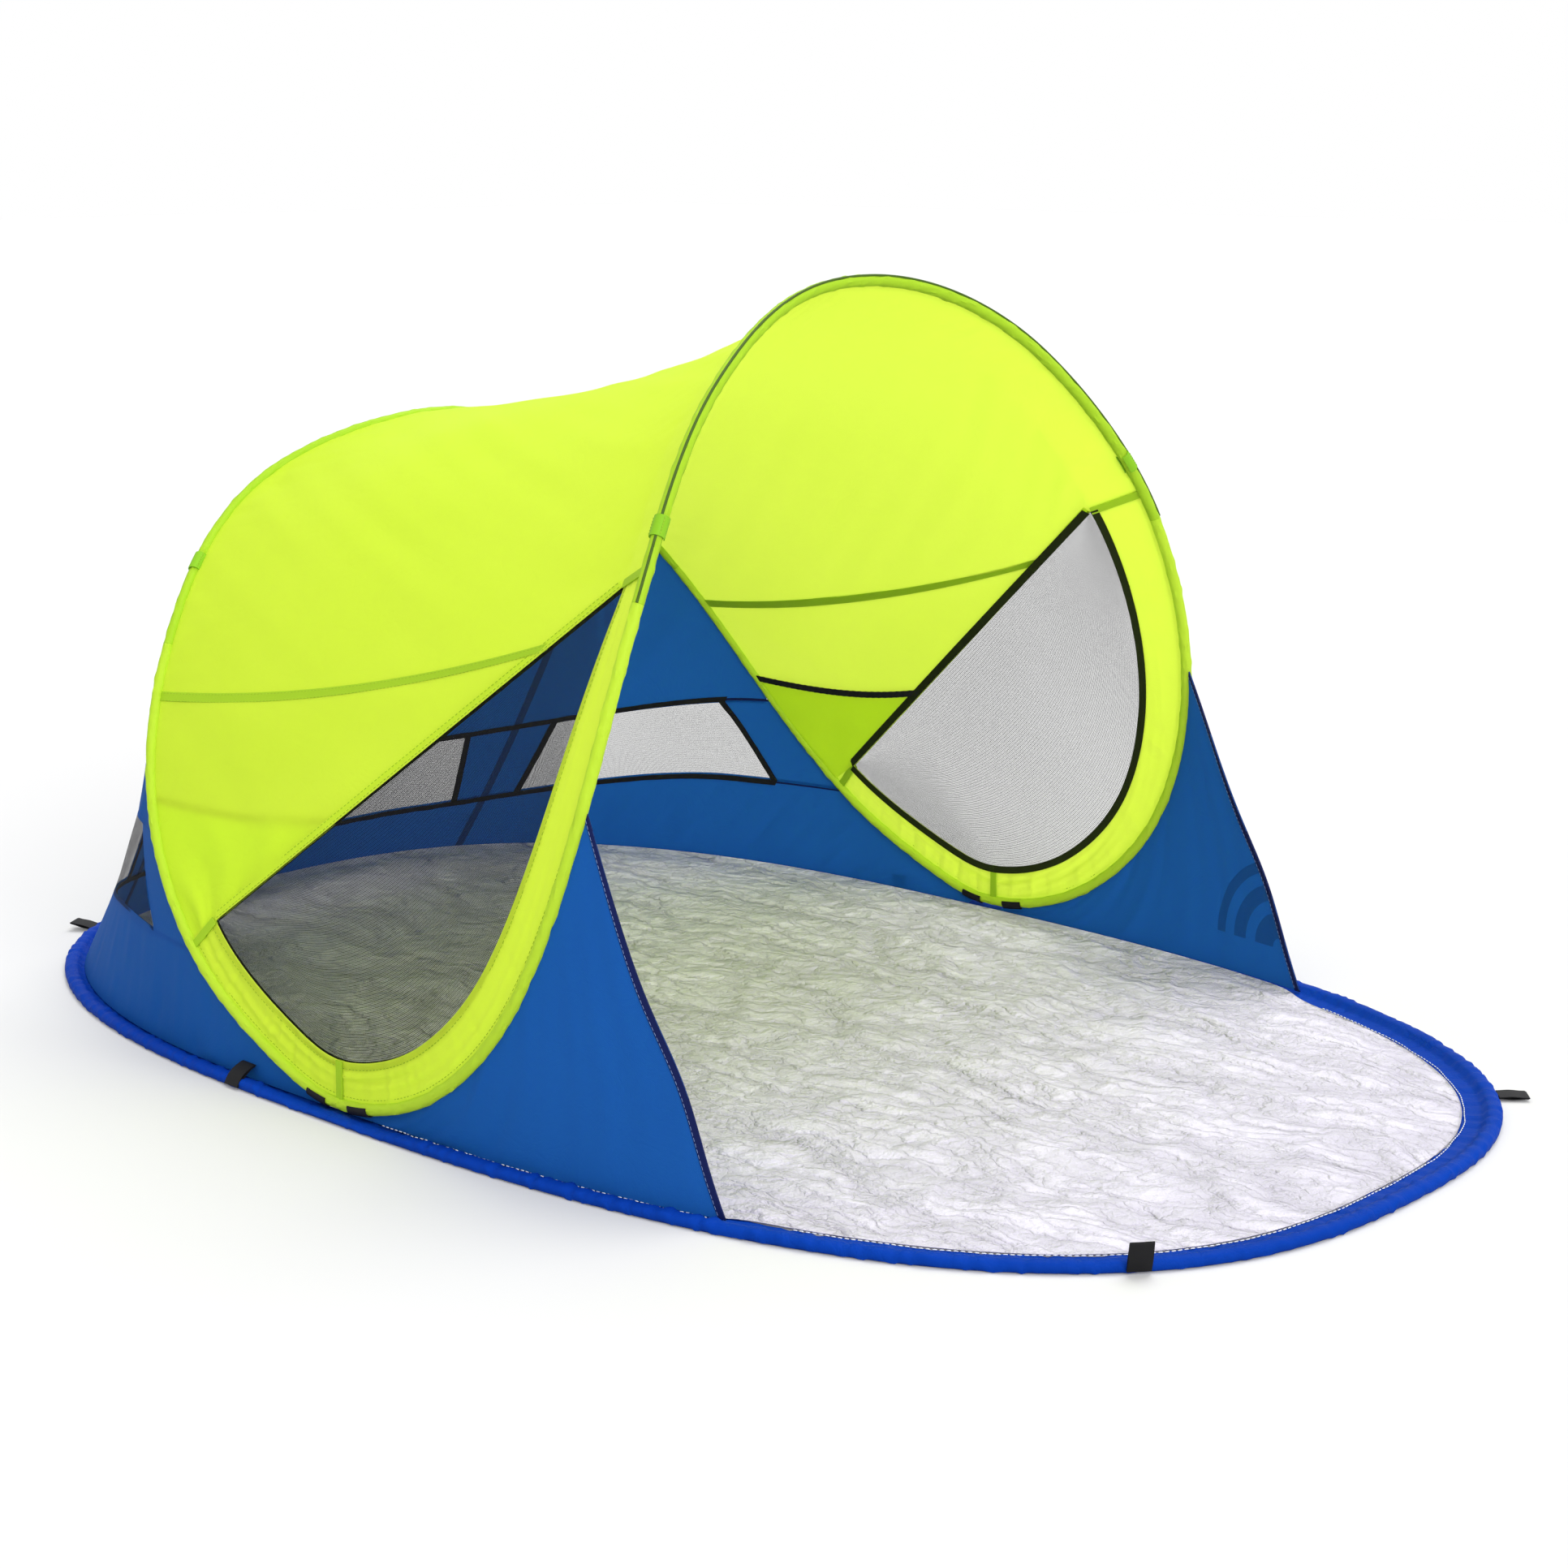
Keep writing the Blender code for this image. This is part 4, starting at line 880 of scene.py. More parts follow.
# %% Tabs and foot ties
TAB_SHARES = {"front": 0.72, "rear": 0.748}
TAB_HALF, TAB_SPREAD, TAB_WALL = 0.012, math.radians(290), 0.0014
TIE_START, TIE_END, TIE_SPREAD, TIE_WALL = 0.020, 0.052, math.radians(225), 0.0015


def side_frames(points, outward_way, mirror):
    """Points with outward and sideways unit vectors, taken to one side of the tent."""
    along = unit(np.gradient(points, axis=0))
    side = unit(np.cross(along, outward_way))
    return [mirrored(rows, mirror) for rows in (points, np.cross(side, along), side)]


def shell(points, out, side, middle, spread, inner, wall, steps=22):
    """A band bent round a line: an arc out and another back, facing the angle given."""
    turns = middle + np.linspace(-spread / 2, spread / 2, steps)
    ring = np.stack([np.cos(turns), np.sin(turns)], -1)
    return swept(points, out, side, np.concatenate([ring * (inner + wall), ring[::-1] * inner]))


def make_tab(which, label, mirror):
    """A square of lime webbing over the sleeve, with a row of stitches on each side."""
    share = TAB_SHARES[which]
    line = arch_point(which, np.linspace(share - 0.05, share + 0.05, 201))
    middle = polyline_length(line[:101])
    points = polyline_at(line, np.linspace(middle - TAB_HALF, middle + TAB_HALF, 15))
    frames = side_frames(points, arch_outward(points), mirror)
    sections = shell(*frames, 0, TAB_SPREAD, SLEEVE_RADIUS + 0.0004, TAB_WALL)
    settle(tube(f"{which}_webbing_tab_{label}", sections, lime_webbing), f"{which}_arch",
           "lime_polyester", f"{which}_tab_{label}")
    for k, turn in enumerate((-60, 60)):
        way = np.array([[math.cos(math.radians(turn)), math.sin(math.radians(turn))]])
        rim = swept(*frames, way * (SLEEVE_RADIUS + 0.0023))[:, 0]
        sew(f"{which}_tab_stitches_{label}_{k}", rim, rim - frames[0], 1, lime_thread, f"{which}_arch",
            "lime_polyester", 0.0035, 0.0026)


def make_tie(which, label, mirror):
    """Black webbing under the sleeve beside a foot, which ties the ring down on the hem."""
    line = arch_point(which, np.linspace(0, 2 / 3, 600))
    frames = side_frames(polyline_at(line, np.linspace(TIE_START, TIE_END, 12)), [0, 0, 1], mirror)
    sections = shell(*frames, math.pi, TIE_SPREAD, SLEEVE_RADIUS + 0.0003, TIE_WALL)
    settle(tube(f"{which}_foot_tie_{label}", sections, black_webbing), f"{which}_floor",
           "black_webbing", f"{which}_tie_{label}")


for label, mirror in SIDES:
    for make in (make_tab, make_tie):
        for which in ("front", "rear"):
            make(which, label, mirror)

# %% [markdown]
# ## Sides
# Each side is cut from a lime band along each arch, a curved mesh window between them, and a
# lime panel behind it. All share a few edges, so those are worked out first. The mesh has a
# dark binding on its inner side, and a pocket with an elastic edge hangs inside the panel.

# %% Shared edges of the side pieces
SIDE_MIDDLE = (0.03, 0.34)
TAPER = 0.17
BAND_FOOT, BAND_TOP = 0.0463, 0.0663


def in_cloth(points):
    """Directions in the side cloth, square to the canopy ring and away from it."""
    along = unit(np.gradient(points, axis=0))
    ahead = SIDE_MIDDLE[0] - points[..., 0]
    toward = np.stack([ahead, -TAPER * np.abs(ahead), SIDE_MIDDLE[1] - points[..., 2]], -1)
    return unit(toward - along * (toward * along).sum(-1, keepdims=True))


def band_edges(which, top_share, count=161):
    """Outer and inner edge of the lime band along one arch, from the foot up."""
    line = arch_point(which, np.linspace(0, top_share, count))
    inward = in_cloth(line)
    inward[0] = unit(inward[0] * [0, 1, 1])
    outer = line + inward * CLOTH_REACH
    width = np.linspace(BAND_FOOT, BAND_TOP if which == "front" else BAND_FOOT, count)[:, None]
    inner = outer + inward * width
    outer[0, 0] = inner[0, 0] = 0.0001 if which == "front" else -0.0001
    return outer, inner


def side_outline():
    """The edges that the side pieces share."""
    tail_share = share_at_height("rear", 0.142)
    front, rear = band_edges("front", share_at_height("front", 0.64)), band_edges("rear", tail_share)
    tip, tail = front[1][-1], rear[1][-1]
    hoop = arch_point("rear", np.linspace(share_at_height("rear", 0.405), tail_share, 80))
    hoop = hoop + in_cloth(hoop) * CLOTH_REACH
    seam = between(tip, tail, (tip[2] - 0.538) / (tip[2] - tail[2]))
    return {"front": front, "rear": rear, "tip": tip, "tail": tail, "hoop": hoop, "seam": seam}


def seam_dip(share):
    """How far the side seam dips below a straight line at a share of its length."""
    return SEAM_DIP * 4 * share * (1 - share)


def panel_point(across, down):
    """Lower side panel: across from the window to the rear hoop, down from the seam, which dips."""
    rear = polyline_at(outline["hoop"], down * polyline_length(outline["hoop"]))
    point = between(between(outline["seam"], outline["tail"], down), rear, across)
    point[..., 2] -= seam_dip(across) * (1 - down) ** 2
    return point


outline = side_outline()
print("window tip at", np.round(outline["tip"], 3), "and tail at", np.round(outline["tail"], 3))


# %% Tapes, seams and bands
def tape(name, rows, body, finish, slot, mirror, lift, thickness=0.0008):
    """A flat tape through rows of points, lifted off the cloth."""
    settle(cloth(name, outward(mirrored(rows, mirror), lift), finish, thickness), body, slot)


def short_seam(name, start, end, along, mirror):
    """A narrow flat seam across a band, inside and out."""
    line = between(start, end, np.linspace(0, 1, 8))
    step = unit(np.asarray(along, float)) * 0.005
    rows = np.stack([line - step, line, line + step])
    for place, lift in (("in", -0.0024), ("out", 0.0024)):
        tape(f"{name}_{place}", rows, ROOF_BEND, lime_seam, "lime_polyester", mirror, lift)


def make_band(which, label, mirror, seed):
    """Lime band along one arch, creased most at the foot, with its mesh binding and stitches."""
    outer, inner = outline[which]
    body = f"{which}_arch"
    grid = rows_between(outer, inner, 20)
    u, v = grid_lengths(grid)
    foot = np.exp(-u / 0.22)
    gather = folds(u, v, 1.35, 0.12, 0.024, seed + 3) * (0.0010 + 0.0026 * foot)
    gather += folds(u, v, 0.06, 0.35, 0.018, seed + 9) * (0.0008 + 0.0044 * foot)
    gather = np.clip(gather, -0.006, 0.006) * (1 - np.exp(-u / 0.012))
    grid = held_cloth(grid, gather, 0.30, "tb")
    make_sheet(f"{which}_band_cloth_{label}", grid, mirror, lime_polyester, body, f"{which}_band_{label}")
    rows = rows_between(inner, outer, 4, -0.0010, np.linalg.norm(outer - inner, axis=1) - 0.009)
    tape(f"{which}_mesh_binding_{label}", rows, body, binding_tape, "black_tape", mirror, -0.0026)
    inward = unit(inner - outer)
    for k, line in enumerate((inner - inward * 0.008, outer + inward * 0.006)):
        normal = arch_outward(line) + [0, 1, 0]
        sew(f"{which}_band_stitches_{label}_{k}", line + unit(normal) * 0.0006, normal, mirror,
            lime_thread, body, "lime_polyester")


# %% Windows, panels and pockets
POCKET_HEIGHTS, POCKET_FOOT, POCKET_SAG, ELASTIC_SHARE = (0.325, 0.305), 0.965, 0.008, 0.032
DOWN, ACROSS = np.meshgrid(np.linspace(0, 1, 70), np.linspace(0, 1, 90), indexing="ij")


def make_window(label, mirror, seed):
    """Mesh window between the bands, with its long edge folded, bound and stitched."""
    edge = np.concatenate([outline["front"][1][::-1], outline["rear"][1][1:]])
    reach = np.linspace(0.004, 0.998, 200)
    chord = between(outline["tip"], outline["tail"], reach)
    border = polyline_at(edge, reach * polyline_length(edge))
    grid = rows_between(chord, border, 60, -0.003, -0.003)
    u, v = grid_lengths(grid)
    grid = outward(held_cloth(grid, 0.0015 * waves(u, v, 0.25, seed), 0.1), -0.0009)
    make_sheet(f"side_window_{label}", grid, mirror, black_mesh, ROOF_BEND, f"side_mesh_{label}",
               0.0002)
    width = np.linalg.norm(border - chord, axis=1)
    for name, finish, slot, short, lift in (
            ("long_mesh_binding", binding_tape, "black_tape", 0.0008, -0.0044),
            ("long_edge_fold", lime_polyester, "lime_polyester", 0.001, 0.0012)):
        rows = rows_between(chord, border, 4, -0.010, width - short)
        tape(f"{name}_{label}", rows, ROOF_BEND, finish, slot, mirror, lift)
    for k, before in enumerate((-0.0085, -0.0012)):
        line = outward(rows_between(chord, border, 3, before), 0.0018)[0]
        sew(f"long_edge_stitches_{label}_{k}", line, [0.0, 1.0, 0.3], mirror, lime_thread, ROOF_BEND,
            "lime_polyester")


def make_panel(label, mirror, seed):
    """Lower side panel, pulled into long folds between the window and the rear arch."""
    panel = panel_point(ACROSS, DOWN)
    u, v = grid_lengths(panel)
    pull = folds(u, v, -0.75, 0.5, 0.09, seed + 5) * 0.0022 + waves(u, v, 0.3, seed + 6) * 0.002
    make_sheet(f"side_panel_cloth_{label}", held_cloth(panel, pull, 0.05), mirror, lime_polyester,
               ROOF_BEND, f"side_panel_{label}")


def make_pocket(label, mirror, seed):
    """Pocket inside the panel, from a level top with an elastic tape down to the panel's foot."""
    seam, tail, hoop = outline["seam"], outline["tail"], outline["hoop"]
    top = (seam[2] - POCKET_HEIGHTS[0]) / (seam[2] - tail[2])
    top = top + ((hoop[0][2] - POCKET_HEIGHTS[1]) / (hoop[0][2] - hoop[-1][2]) - top) * ACROSS
    sag = POCKET_SAG * np.sin(math.pi * ACROSS) * (1 - DOWN)
    pocket = panel_point(ACROSS, top + 0.03 + (POCKET_FOOT - top - 0.03) * DOWN)
    pocket[..., 2] -= sag
    pocket = outward(pocket, -0.0030)
    u, v = grid_lengths(pocket)
    pocket = held_cloth(pocket, 0.0008 * waves(u, v, 0.12, seed + 7), 0.1)
    make_sheet(f"side_pocket_cloth_{label}", pocket, mirror, lime_polyester, ROOF_BEND,
               f"side_pocket_{label}")
    elastic = panel_point(ACROSS[:6], top[:6] + np.linspace(0, ELASTIC_SHARE, 6)[:, None])
    elastic[..., 2] -= sag[0]
    elastic = outward(elastic, -0.0036)
    u, _ = grid_lengths(elastic)
    elastic = moved(elastic, 0.0004 * np.sin(u * 2 * math.pi / 0.012))
    piece = cloth(f"pocket_elastic_tape_{label}", mirrored(elastic, mirror), black_tape, 0.0012)
    settle(piece, ROOF_BEND, "black_tape", f"pocket_elastic_{label}")


def make_side(label, mirror, seed):
    """All cloth of one side of the tent."""
    for which in ("front", "rear"):
        make_band(which, label, mirror, seed)
    front, rear = outline["front"], outline["rear"]
    short_seam(f"foot_seam_{label}", front[1][0], front[0][0], [1.0, 0, 0], mirror)
    short_seam(f"tail_seam_{label}", rear[1][-1], rear[0][-1], rear[0][-1] - rear[0][-2], mirror)
    short_seam(f"tip_seam_{label}", front[0][-1], front[1][-1], front[0][-1] - front[0][-2], mirror)
    make_window(label, mirror, seed)
    make_panel(label, mirror, seed)
    make_pocket(label, mirror, seed)


for (label, mirror), seed in zip(SIDES, (51, 61)):
    make_side(label, mirror, seed)

# %% [markdown]
# ## Roof
# One lime cloth runs from the side seam on the left over both crowns to the seam on the right.
# Pulled between two arches that lean apart, it sinks into a saddle, deepest a little behind
# the front arch. The grid runs across from arch to arch, and up from each seam to the ridge.

# %% Roof cloth
ROOF_SAG, ROOF_SKEW = 0.04, 0.6
ROOF_PEAK = (ROOF_SKEW / (1 + ROOF_SKEW)) ** ROOF_SKEW / (1 + ROOF_SKEW)
SEAM_SHARES = np.linspace(0, 1, 81)


def roof_point(share, t):
    """Roof on the +Y side: lines from arch to arch that sag as share ** skew * (1 - share)."""
    start, end = arch_point("front", t), arch_point("rear", t)
    length = np.linalg.norm(end - start, axis=-1)
    before = clearance_along(end - start, arch_direction("front", t), CLOTH_REACH)
    after = clearance_along(end - start, arch_direction("rear", t), CLOTH_REACH)
    point = between(start, end, (before + (length - before - after) * share) / length)
    sag = ROOF_SAG * (share + 0 * length) ** ROOF_SKEW * (1 - share) / ROOF_PEAK
    return point - arch_outward(point) * sag[..., None]


def roof_place(point):
    """Share and height share at which the roof comes nearest to points, by halving in turn."""
    share, t = np.full(len(point), 0.5), np.full(len(point), 0.7)
    for _ in range(30):
        low, high = np.zeros(len(point)), np.ones(len(point))
        for _ in range(30):
            t = (low + high) / 2
            below = roof_point(share, t)[:, 2] < point[:, 2]
            low, high = np.where(below, t, low), np.where(below, high, t)
        front, rear = roof_point(0 * share, t)[:, 0], roof_point(0 * share + 1, t)[:, 0]
        share = np.clip((point[:, 0] - front) / (rear - front), 0, 1)
    return share, t


def roof_border():
    """Lower edge of the roof on the +Y side: along the band, the window's long edge and the seam."""
    corners = np.array([outline["front"][0][-1], outline["tip"], outline["seam"], outline["hoop"][0]])
    lengths = line_lengths(corners)
    places = np.concatenate([np.linspace(0, lengths[1], 12)[:-1], np.linspace(lengths[1], lengths[2], 24)[:-1],
                             lengths[2] + (lengths[3] - lengths[2]) * SEAM_SHARES])
    border = polyline_at(corners, places)
    border[-len(SEAM_SHARES):, 2] -= seam_dip(SEAM_SHARES)
    return border


def make_roof_seams(seam, up):
    """Flat seams inside and out along the roof's lower edge, each with two rows of stitches."""
    down = panel_point(SEAM_SHARES, 0 * SEAM_SHARES + 0.02)
    rows = np.stack([seam + unit(down - seam) * 0.006, seam, seam + unit(up - seam) * 0.006])
    for label, mirror in SIDES:
        for place, lift in (("out", 0.0009), ("in", -0.0009)):
            tape(f"side_seam_{place}_{label}", rows, ROOF_BEND, lime_seam, "lime_polyester", mirror, lift)
        for k, row in enumerate((rows[0], rows[2])):
            line = row * 0.8 + rows[1] * 0.2 + np.array([0, 0.0014, 0])
            sew(f"side_seam_stitches_{label}_{k}", line, [0.0, 1.0, 0.2], mirror, lime_thread, ROOF_BEND,
                "lime_polyester")


def make_roof():
    """Roof cloth over both crowns, with folds that are deepest beside the arches, and its seams."""
    border = roof_border()
    share, t = roof_place(border)
    share[0], share[-1] = 0, 1
    steps = np.linspace(0, 1, 75)[:, None]
    half = roof_point(share[None], t[None] + (1 - t[None]) * steps)
    half += (border - roof_point(share, t))[None] * ((1 - steps) ** 2)[..., None]
    half[-1, :, 1] = 0
    whole = np.concatenate([half, mirrored(half[-2::-1], -1)])
    u, v = grid_lengths(whole)
    ahead = np.exp(-u / 0.06) + np.exp(-(u.max() - u) / 0.05)
    lift = 0.0024 * folds(u, v, 0.25, 0.16, 0.030, 71) * ahead + 0.0028 * waves(u, v, 0.4, 72)
    lift = lift + 0.0016 * folds(u, v, -0.5, 0.4, 0.07, 73)
    whole = held_cloth(whole, lift, 0.010)
    make_sheet("roof_cloth", whole, 1, lime_polyester, ROOF_BEND, "roof")
    make_roof_seams(border[-len(SEAM_SHARES):], half[1, -len(SEAM_SHARES):])
    print("front edge of the roof at", round(float(whole[:, 0, 2].max()), 3), "m")


make_roof()

# %% [markdown]
# ## Back wall
# The blue wall rises from the rear hem to the rear arch, and its windows sit in one row that
# climbs toward the arch at both ends. The wall is a bundle of lines from the hem to the arch
# that sag outward, and each panel is a patch of it between two places round the wall.

# %% Wall surface and its window row
WALL_SAG, WALL_START = 0.045, 0.2
WINDOW_EDGES = {"centre": (0.195, 0.175), "start": (0.27, 0.275), "end": (0.56, 0.45)}
BINDING = 0.009


def wall_lines(around):
    """Lines up the wall: foot, way to the top, share of it that the cloth fills, and sag."""
    around = np.asarray(around, float)
    low, _ = ring_point(math.pi - math.pi / 2 * around, WALL_INSET + 0 * around, WALL_FOOT)
    chord = arch_line("rear", around) - low
    length = np.linalg.norm(chord, axis=-1)
    turned = np.stack([0 * around + 1, np.where(around < 0, -1.0, 1.0), 0 * around + 1], -1)
    along = arch_direction("rear", 1 - np.abs(around)) * turned
    filled = 1 - clearance_along(chord, along, CLOTH_REACH) / length
    tallest = math.hypot(ARCHES["rear"][0], REAR_REACH + ARCHES["rear"][1])
    drawn_in = unit(np.cross(unit(chord), np.cross(unit(chord), low * [1, 1, 0])))
    return low, chord, filled, drawn_in * (WALL_SAG * (length / tallest) ** 2)[..., None]


def wall_at(lines, up):
    """Points at these shares up the lines of the wall."""
    low, chord, filled, sag = lines
    share = (up * filled)[..., None]
    return low + chord * share + sag * (4 * share * (1 - share))


def row_height(around, share):
    """Height of the window row, from its bottom line at 0 to its top line at 1."""
    turn = np.clip((np.abs(around) - 0.15) / 0.35, 0, 1)
    ramp = turn**2 * (3 - 2 * turn)
    low, high = 0.088 + 0.050 * ramp, 0.202 + 0.054 * ramp
    return low + (high - low) * share


def row_up(around, share, rise):
    """Share up the wall of a line of the window row, moved up by a real length."""
    lines = wall_lines(around)
    height = row_height(around, share)
    low = np.zeros_like(height)
    high = low + 2
    for _ in range(30):
        middle = (low + high) / 2
        above = wall_at(lines, middle)[..., 2] > height
        low, high = np.where(above, low, middle), np.where(above, middle, high)
    return low + rise / (np.linalg.norm(lines[1], axis=-1) * lines[2])


def row_end(share, rise):
    """Share round the wall at which a line of the window row meets the rear arch."""
    low, high = np.array([0.175]), np.array([1 - WALL_START])
    for _ in range(30):
        middle = (low + high) / 2
        past = row_up(middle, share, rise) > 1
        low, high = np.where(past, low, middle), np.where(past, middle, high)
    return low[0]


def shifted_round(around, up, distance):
    """Share round the wall, moved by a real length."""
    places = np.array([around - 0.001, around + 0.001])
    ends = wall_at(wall_lines(places), np.array([up, up]))
    return around + distance * 0.002 / np.linalg.norm(ends[1] - ends[0])


def wall_row(left, right, level, columns):
    """One row of wall points between two edges, each a place with a real length to move it by."""
    share, rise = level
    ends = []
    for side, which, distance in (left, right):
        if which == "arch":
            ends.append(side * row_end(share, rise))
            continue
        low, high = WINDOW_EDGES[which]
        edge = low + (high - low) * share
        up = row_up(np.array([edge]), share, rise)[0]
        ends.append(side * shifted_round(edge, up, distance))
    around = np.linspace(ends[0], ends[1], columns + 1)
    return wall_at(wall_lines(around), np.minimum(row_up(around, share, rise), 1))


def wall_grid(left, right, levels, columns):
    """Wall points in rows at the given levels, between a left and a right edge."""
    return np.array([wall_row(left, right, level, columns) for level in levels])


print("window row meets the rear arch at", round(float(row_end(0.5, 0)), 3))


# %% Wall panels, windows and binding
EDGE_OVERLAP, MESH_OFFSET, UPRIGHT_SEAM = 0.003, 0.0008, 0.232


def wall_sheet(name, grid, finish, node, mirror=1, thickness=0.0007):
    """A wall piece that runs from the floor to the rear arch."""
    make_sheet(name, grid, mirror, finish, WALL_BEND, node,
               thickness)


def make_lower_wall():
    """Lower panel, from the hem up to the window row and round behind both legs."""
    corner = row_end(0, -BINDING)
    half = np.concatenate([np.linspace(0, corner, 140), np.linspace(corner, 0.955, 70)[1:]])
    around = np.concatenate([-half[:0:-1], half])
    top = np.minimum(row_up(around, 0, 0.002), 1)
    lines = wall_lines(around)
    grid = np.array([wall_at(lines, top * step) for step in np.linspace(0, 1, 30)])
    u, v = grid_lengths(grid)
    lift = 0.0026 * folds(u, v, 1.2, 0.14, 0.035, 81) + 0.0016 * waves(u, v, 0.15, 82)
    wall_sheet("back_wall_lower_cloth", held_cloth(grid, lift, 0.22), blue_polyester, "back_wall_lower")


def make_upper_wall():
    """Upper panel, from the window row up to the rear arch."""
    reach = row_end(1, BINDING + 0.002)
    around = np.linspace(-reach, reach, 240)
    start = row_up(around, 1, -0.002)
    lines = wall_lines(around)
    grid = np.array([wall_at(lines, start + (1 - start) * step) for step in np.linspace(0, 1, 70)])
    u, v = grid_lengths(grid)
    lift = 0.0030 * folds(u, v, 1.45, 0.5, 0.07, 83) + 0.0030 * waves(u, v, 0.3, 84)
    wall_sheet("back_wall_upper_cloth", held_cloth(grid, lift, 0.09), blue_polyester, "back_wall_upper")


def make_window_row():
    """Strips, outer panels and three mesh windows, side by side between the two wall panels."""
    over = EDGE_OVERLAP
    levels = [(0, -over)] + [(share, 0) for share in np.linspace(0.04, 0.96, 20)] + [(1, over)]
    strip = wall_grid((1, "centre", over), (1, "start", -over), levels, 24)
    outer = wall_grid((1, "end", over), (1, "arch", 0), levels, 40)
    window = wall_grid((1, "start", -over), (1, "end", over), levels, 60)
    u, v = grid_lengths(window)
    window = outward(moved(window, 0.0012 * waves(u, v, 0.2, 85)), MESH_OFFSET)
    for label, mirror in SIDES:
        wall_sheet(f"back_wall_strip_cloth_{label}", strip, blue_polyester, f"back_wall_strip_{label}", mirror)
        wall_sheet(f"back_wall_outer_cloth_{label}", outer, blue_polyester, f"back_wall_outer_{label}", mirror)
        wall_sheet(f"back_window_mesh_{label}", window, black_mesh, f"back_window_{label}", mirror, 0.0002)
    middle = outward(wall_grid((-1, "centre", over), (1, "centre", over), levels, 100), MESH_OFFSET)
    wall_sheet("back_window_mesh_centre", middle, black_mesh, "back_window_centre", thickness=0.0002)


def make_window_tape():
    """Black tape round the windows: one grid over the whole row, with the openings left out."""
    inside = [(share, 0) for share in (0, *np.linspace(0.1, 0.9, 9), 1)]
    framed = [(0, -BINDING), (0, -BINDING / 2), *inside, (1, BINDING / 2), (1, BINDING)]
    borders = [("centre", 0), ("centre", BINDING), ("start", -BINDING), ("start", 0), ("end", 0),
               ("end", BINDING)]
    counts = (2, 12, 2, 40, 2)
    parts = [wall_grid((1, *start), (1, *end), framed, count)[:, 1:]
             for start, end, count in zip(borders[:-1], borders[1:], counts)]
    centre = wall_grid((-1, "centre", 0), (1, "centre", 0), framed, 60)
    right = np.concatenate(parts, axis=1)
    whole = outward(np.concatenate([mirrored(right[:, ::-1], -1), centre, right], axis=1), -0.0024)
    opened = np.repeat([False, True, False, True, False], counts)
    kept = np.ones((len(framed) - 1, whole.shape[1] - 1), bool)
    kept[2:-2] = ~np.concatenate([opened[::-1], np.ones(60, bool), opened])
    u, v = grid_lengths(whole)
    whole = moved(whole, 0.0006 * waves(u, v, 0.03, 86))
    piece = cloth("back_window_tape", whole, black_tape, 0.0012, kept)
    settle(piece, WALL_BEND, "black_tape", "back_window_binding")


def make_wall_seams():
    """Seams inside the wall: from the outer windows to the arch, and one upright on each strip."""
    for level, rise, name in ((0, -0.004, "low"), (1, 0.004, "high")):
        around = np.linspace(WINDOW_EDGES["end"][level], row_end(level, rise), 24)
        lines, up = wall_lines(around), row_up(around, level, rise)
        rows = np.array([wall_at(lines, np.minimum(up + step, 1)) for step in (-0.006, 0, 0.006)])
        for label, mirror in SIDES:
            tape(f"wall_seam_{name}_{label}", rows, WALL_BEND, navy_tape, "navy_tape", mirror, -0.0010)
    up = np.linspace(0.002, 0.998, 80)
    places = UPRIGHT_SEAM + 0.004 * np.linspace(-1, 1, 3)
    rows = np.array([wall_at(wall_lines(np.full(80, place)), up) for place in places])
    for label, mirror in SIDES:
        tape(f"wall_upright_seam_{label}", rows, WALL_BEND, blue_seam, "blue_polyester", mirror, -0.0010)


for make in (make_lower_wall, make_upper_wall, make_window_row, make_window_tape, make_wall_seams):
    make()

# %% [markdown]
# ## Front wings
# Two blue wings close the gap between the front legs and the floor. Each hangs from its leg to
# the hem, with a navy binding on its free edge. One carries a printed motif: plain quarter
# rings in a darker blue, drawn by the distance from one point on the cloth.

# %% Wings
MOTIF_PLACE, MOTIF_RINGS = (0.47, 0.56, 0.055), ((0.030, 0.056), (0.072, 0.092), (0.108, 0.122))


def wing_lines():
    """The wing's edge up the front leg and its edge along the hem, each from the open front back."""
    leg = arch_point("front", np.linspace(share_at_height("front", 0.41), 0.045, 400))
    start, end = math.atan2(HALF_WIDTH, WING_CORNER), math.atan2(HALF_WIDTH, WING_FOOT)
    angles = np.linspace(start, end, 400)
    hem, _ = ring_point(angles, WALL_INSET + 0 * angles, WALL_FOOT)
    return leg, hem


def wing_grid(leg_reach, hem_reach, rows):
    """Wing surface between points along the leg and points along the hem."""
    leg, hem = wing_lines()
    upper, lower = polyline_at(leg, leg_reach), polyline_at(hem, hem_reach)
    slopes = np.gradient(leg, axis=0).T
    along = np.stack([np.interp(leg_reach, line_lengths(leg), axis) for axis in slopes], -1)
    before = clearance_along(lower - upper, along, CLOTH_REACH)
    return rows_between(upper, lower, rows, before, 0 * before)


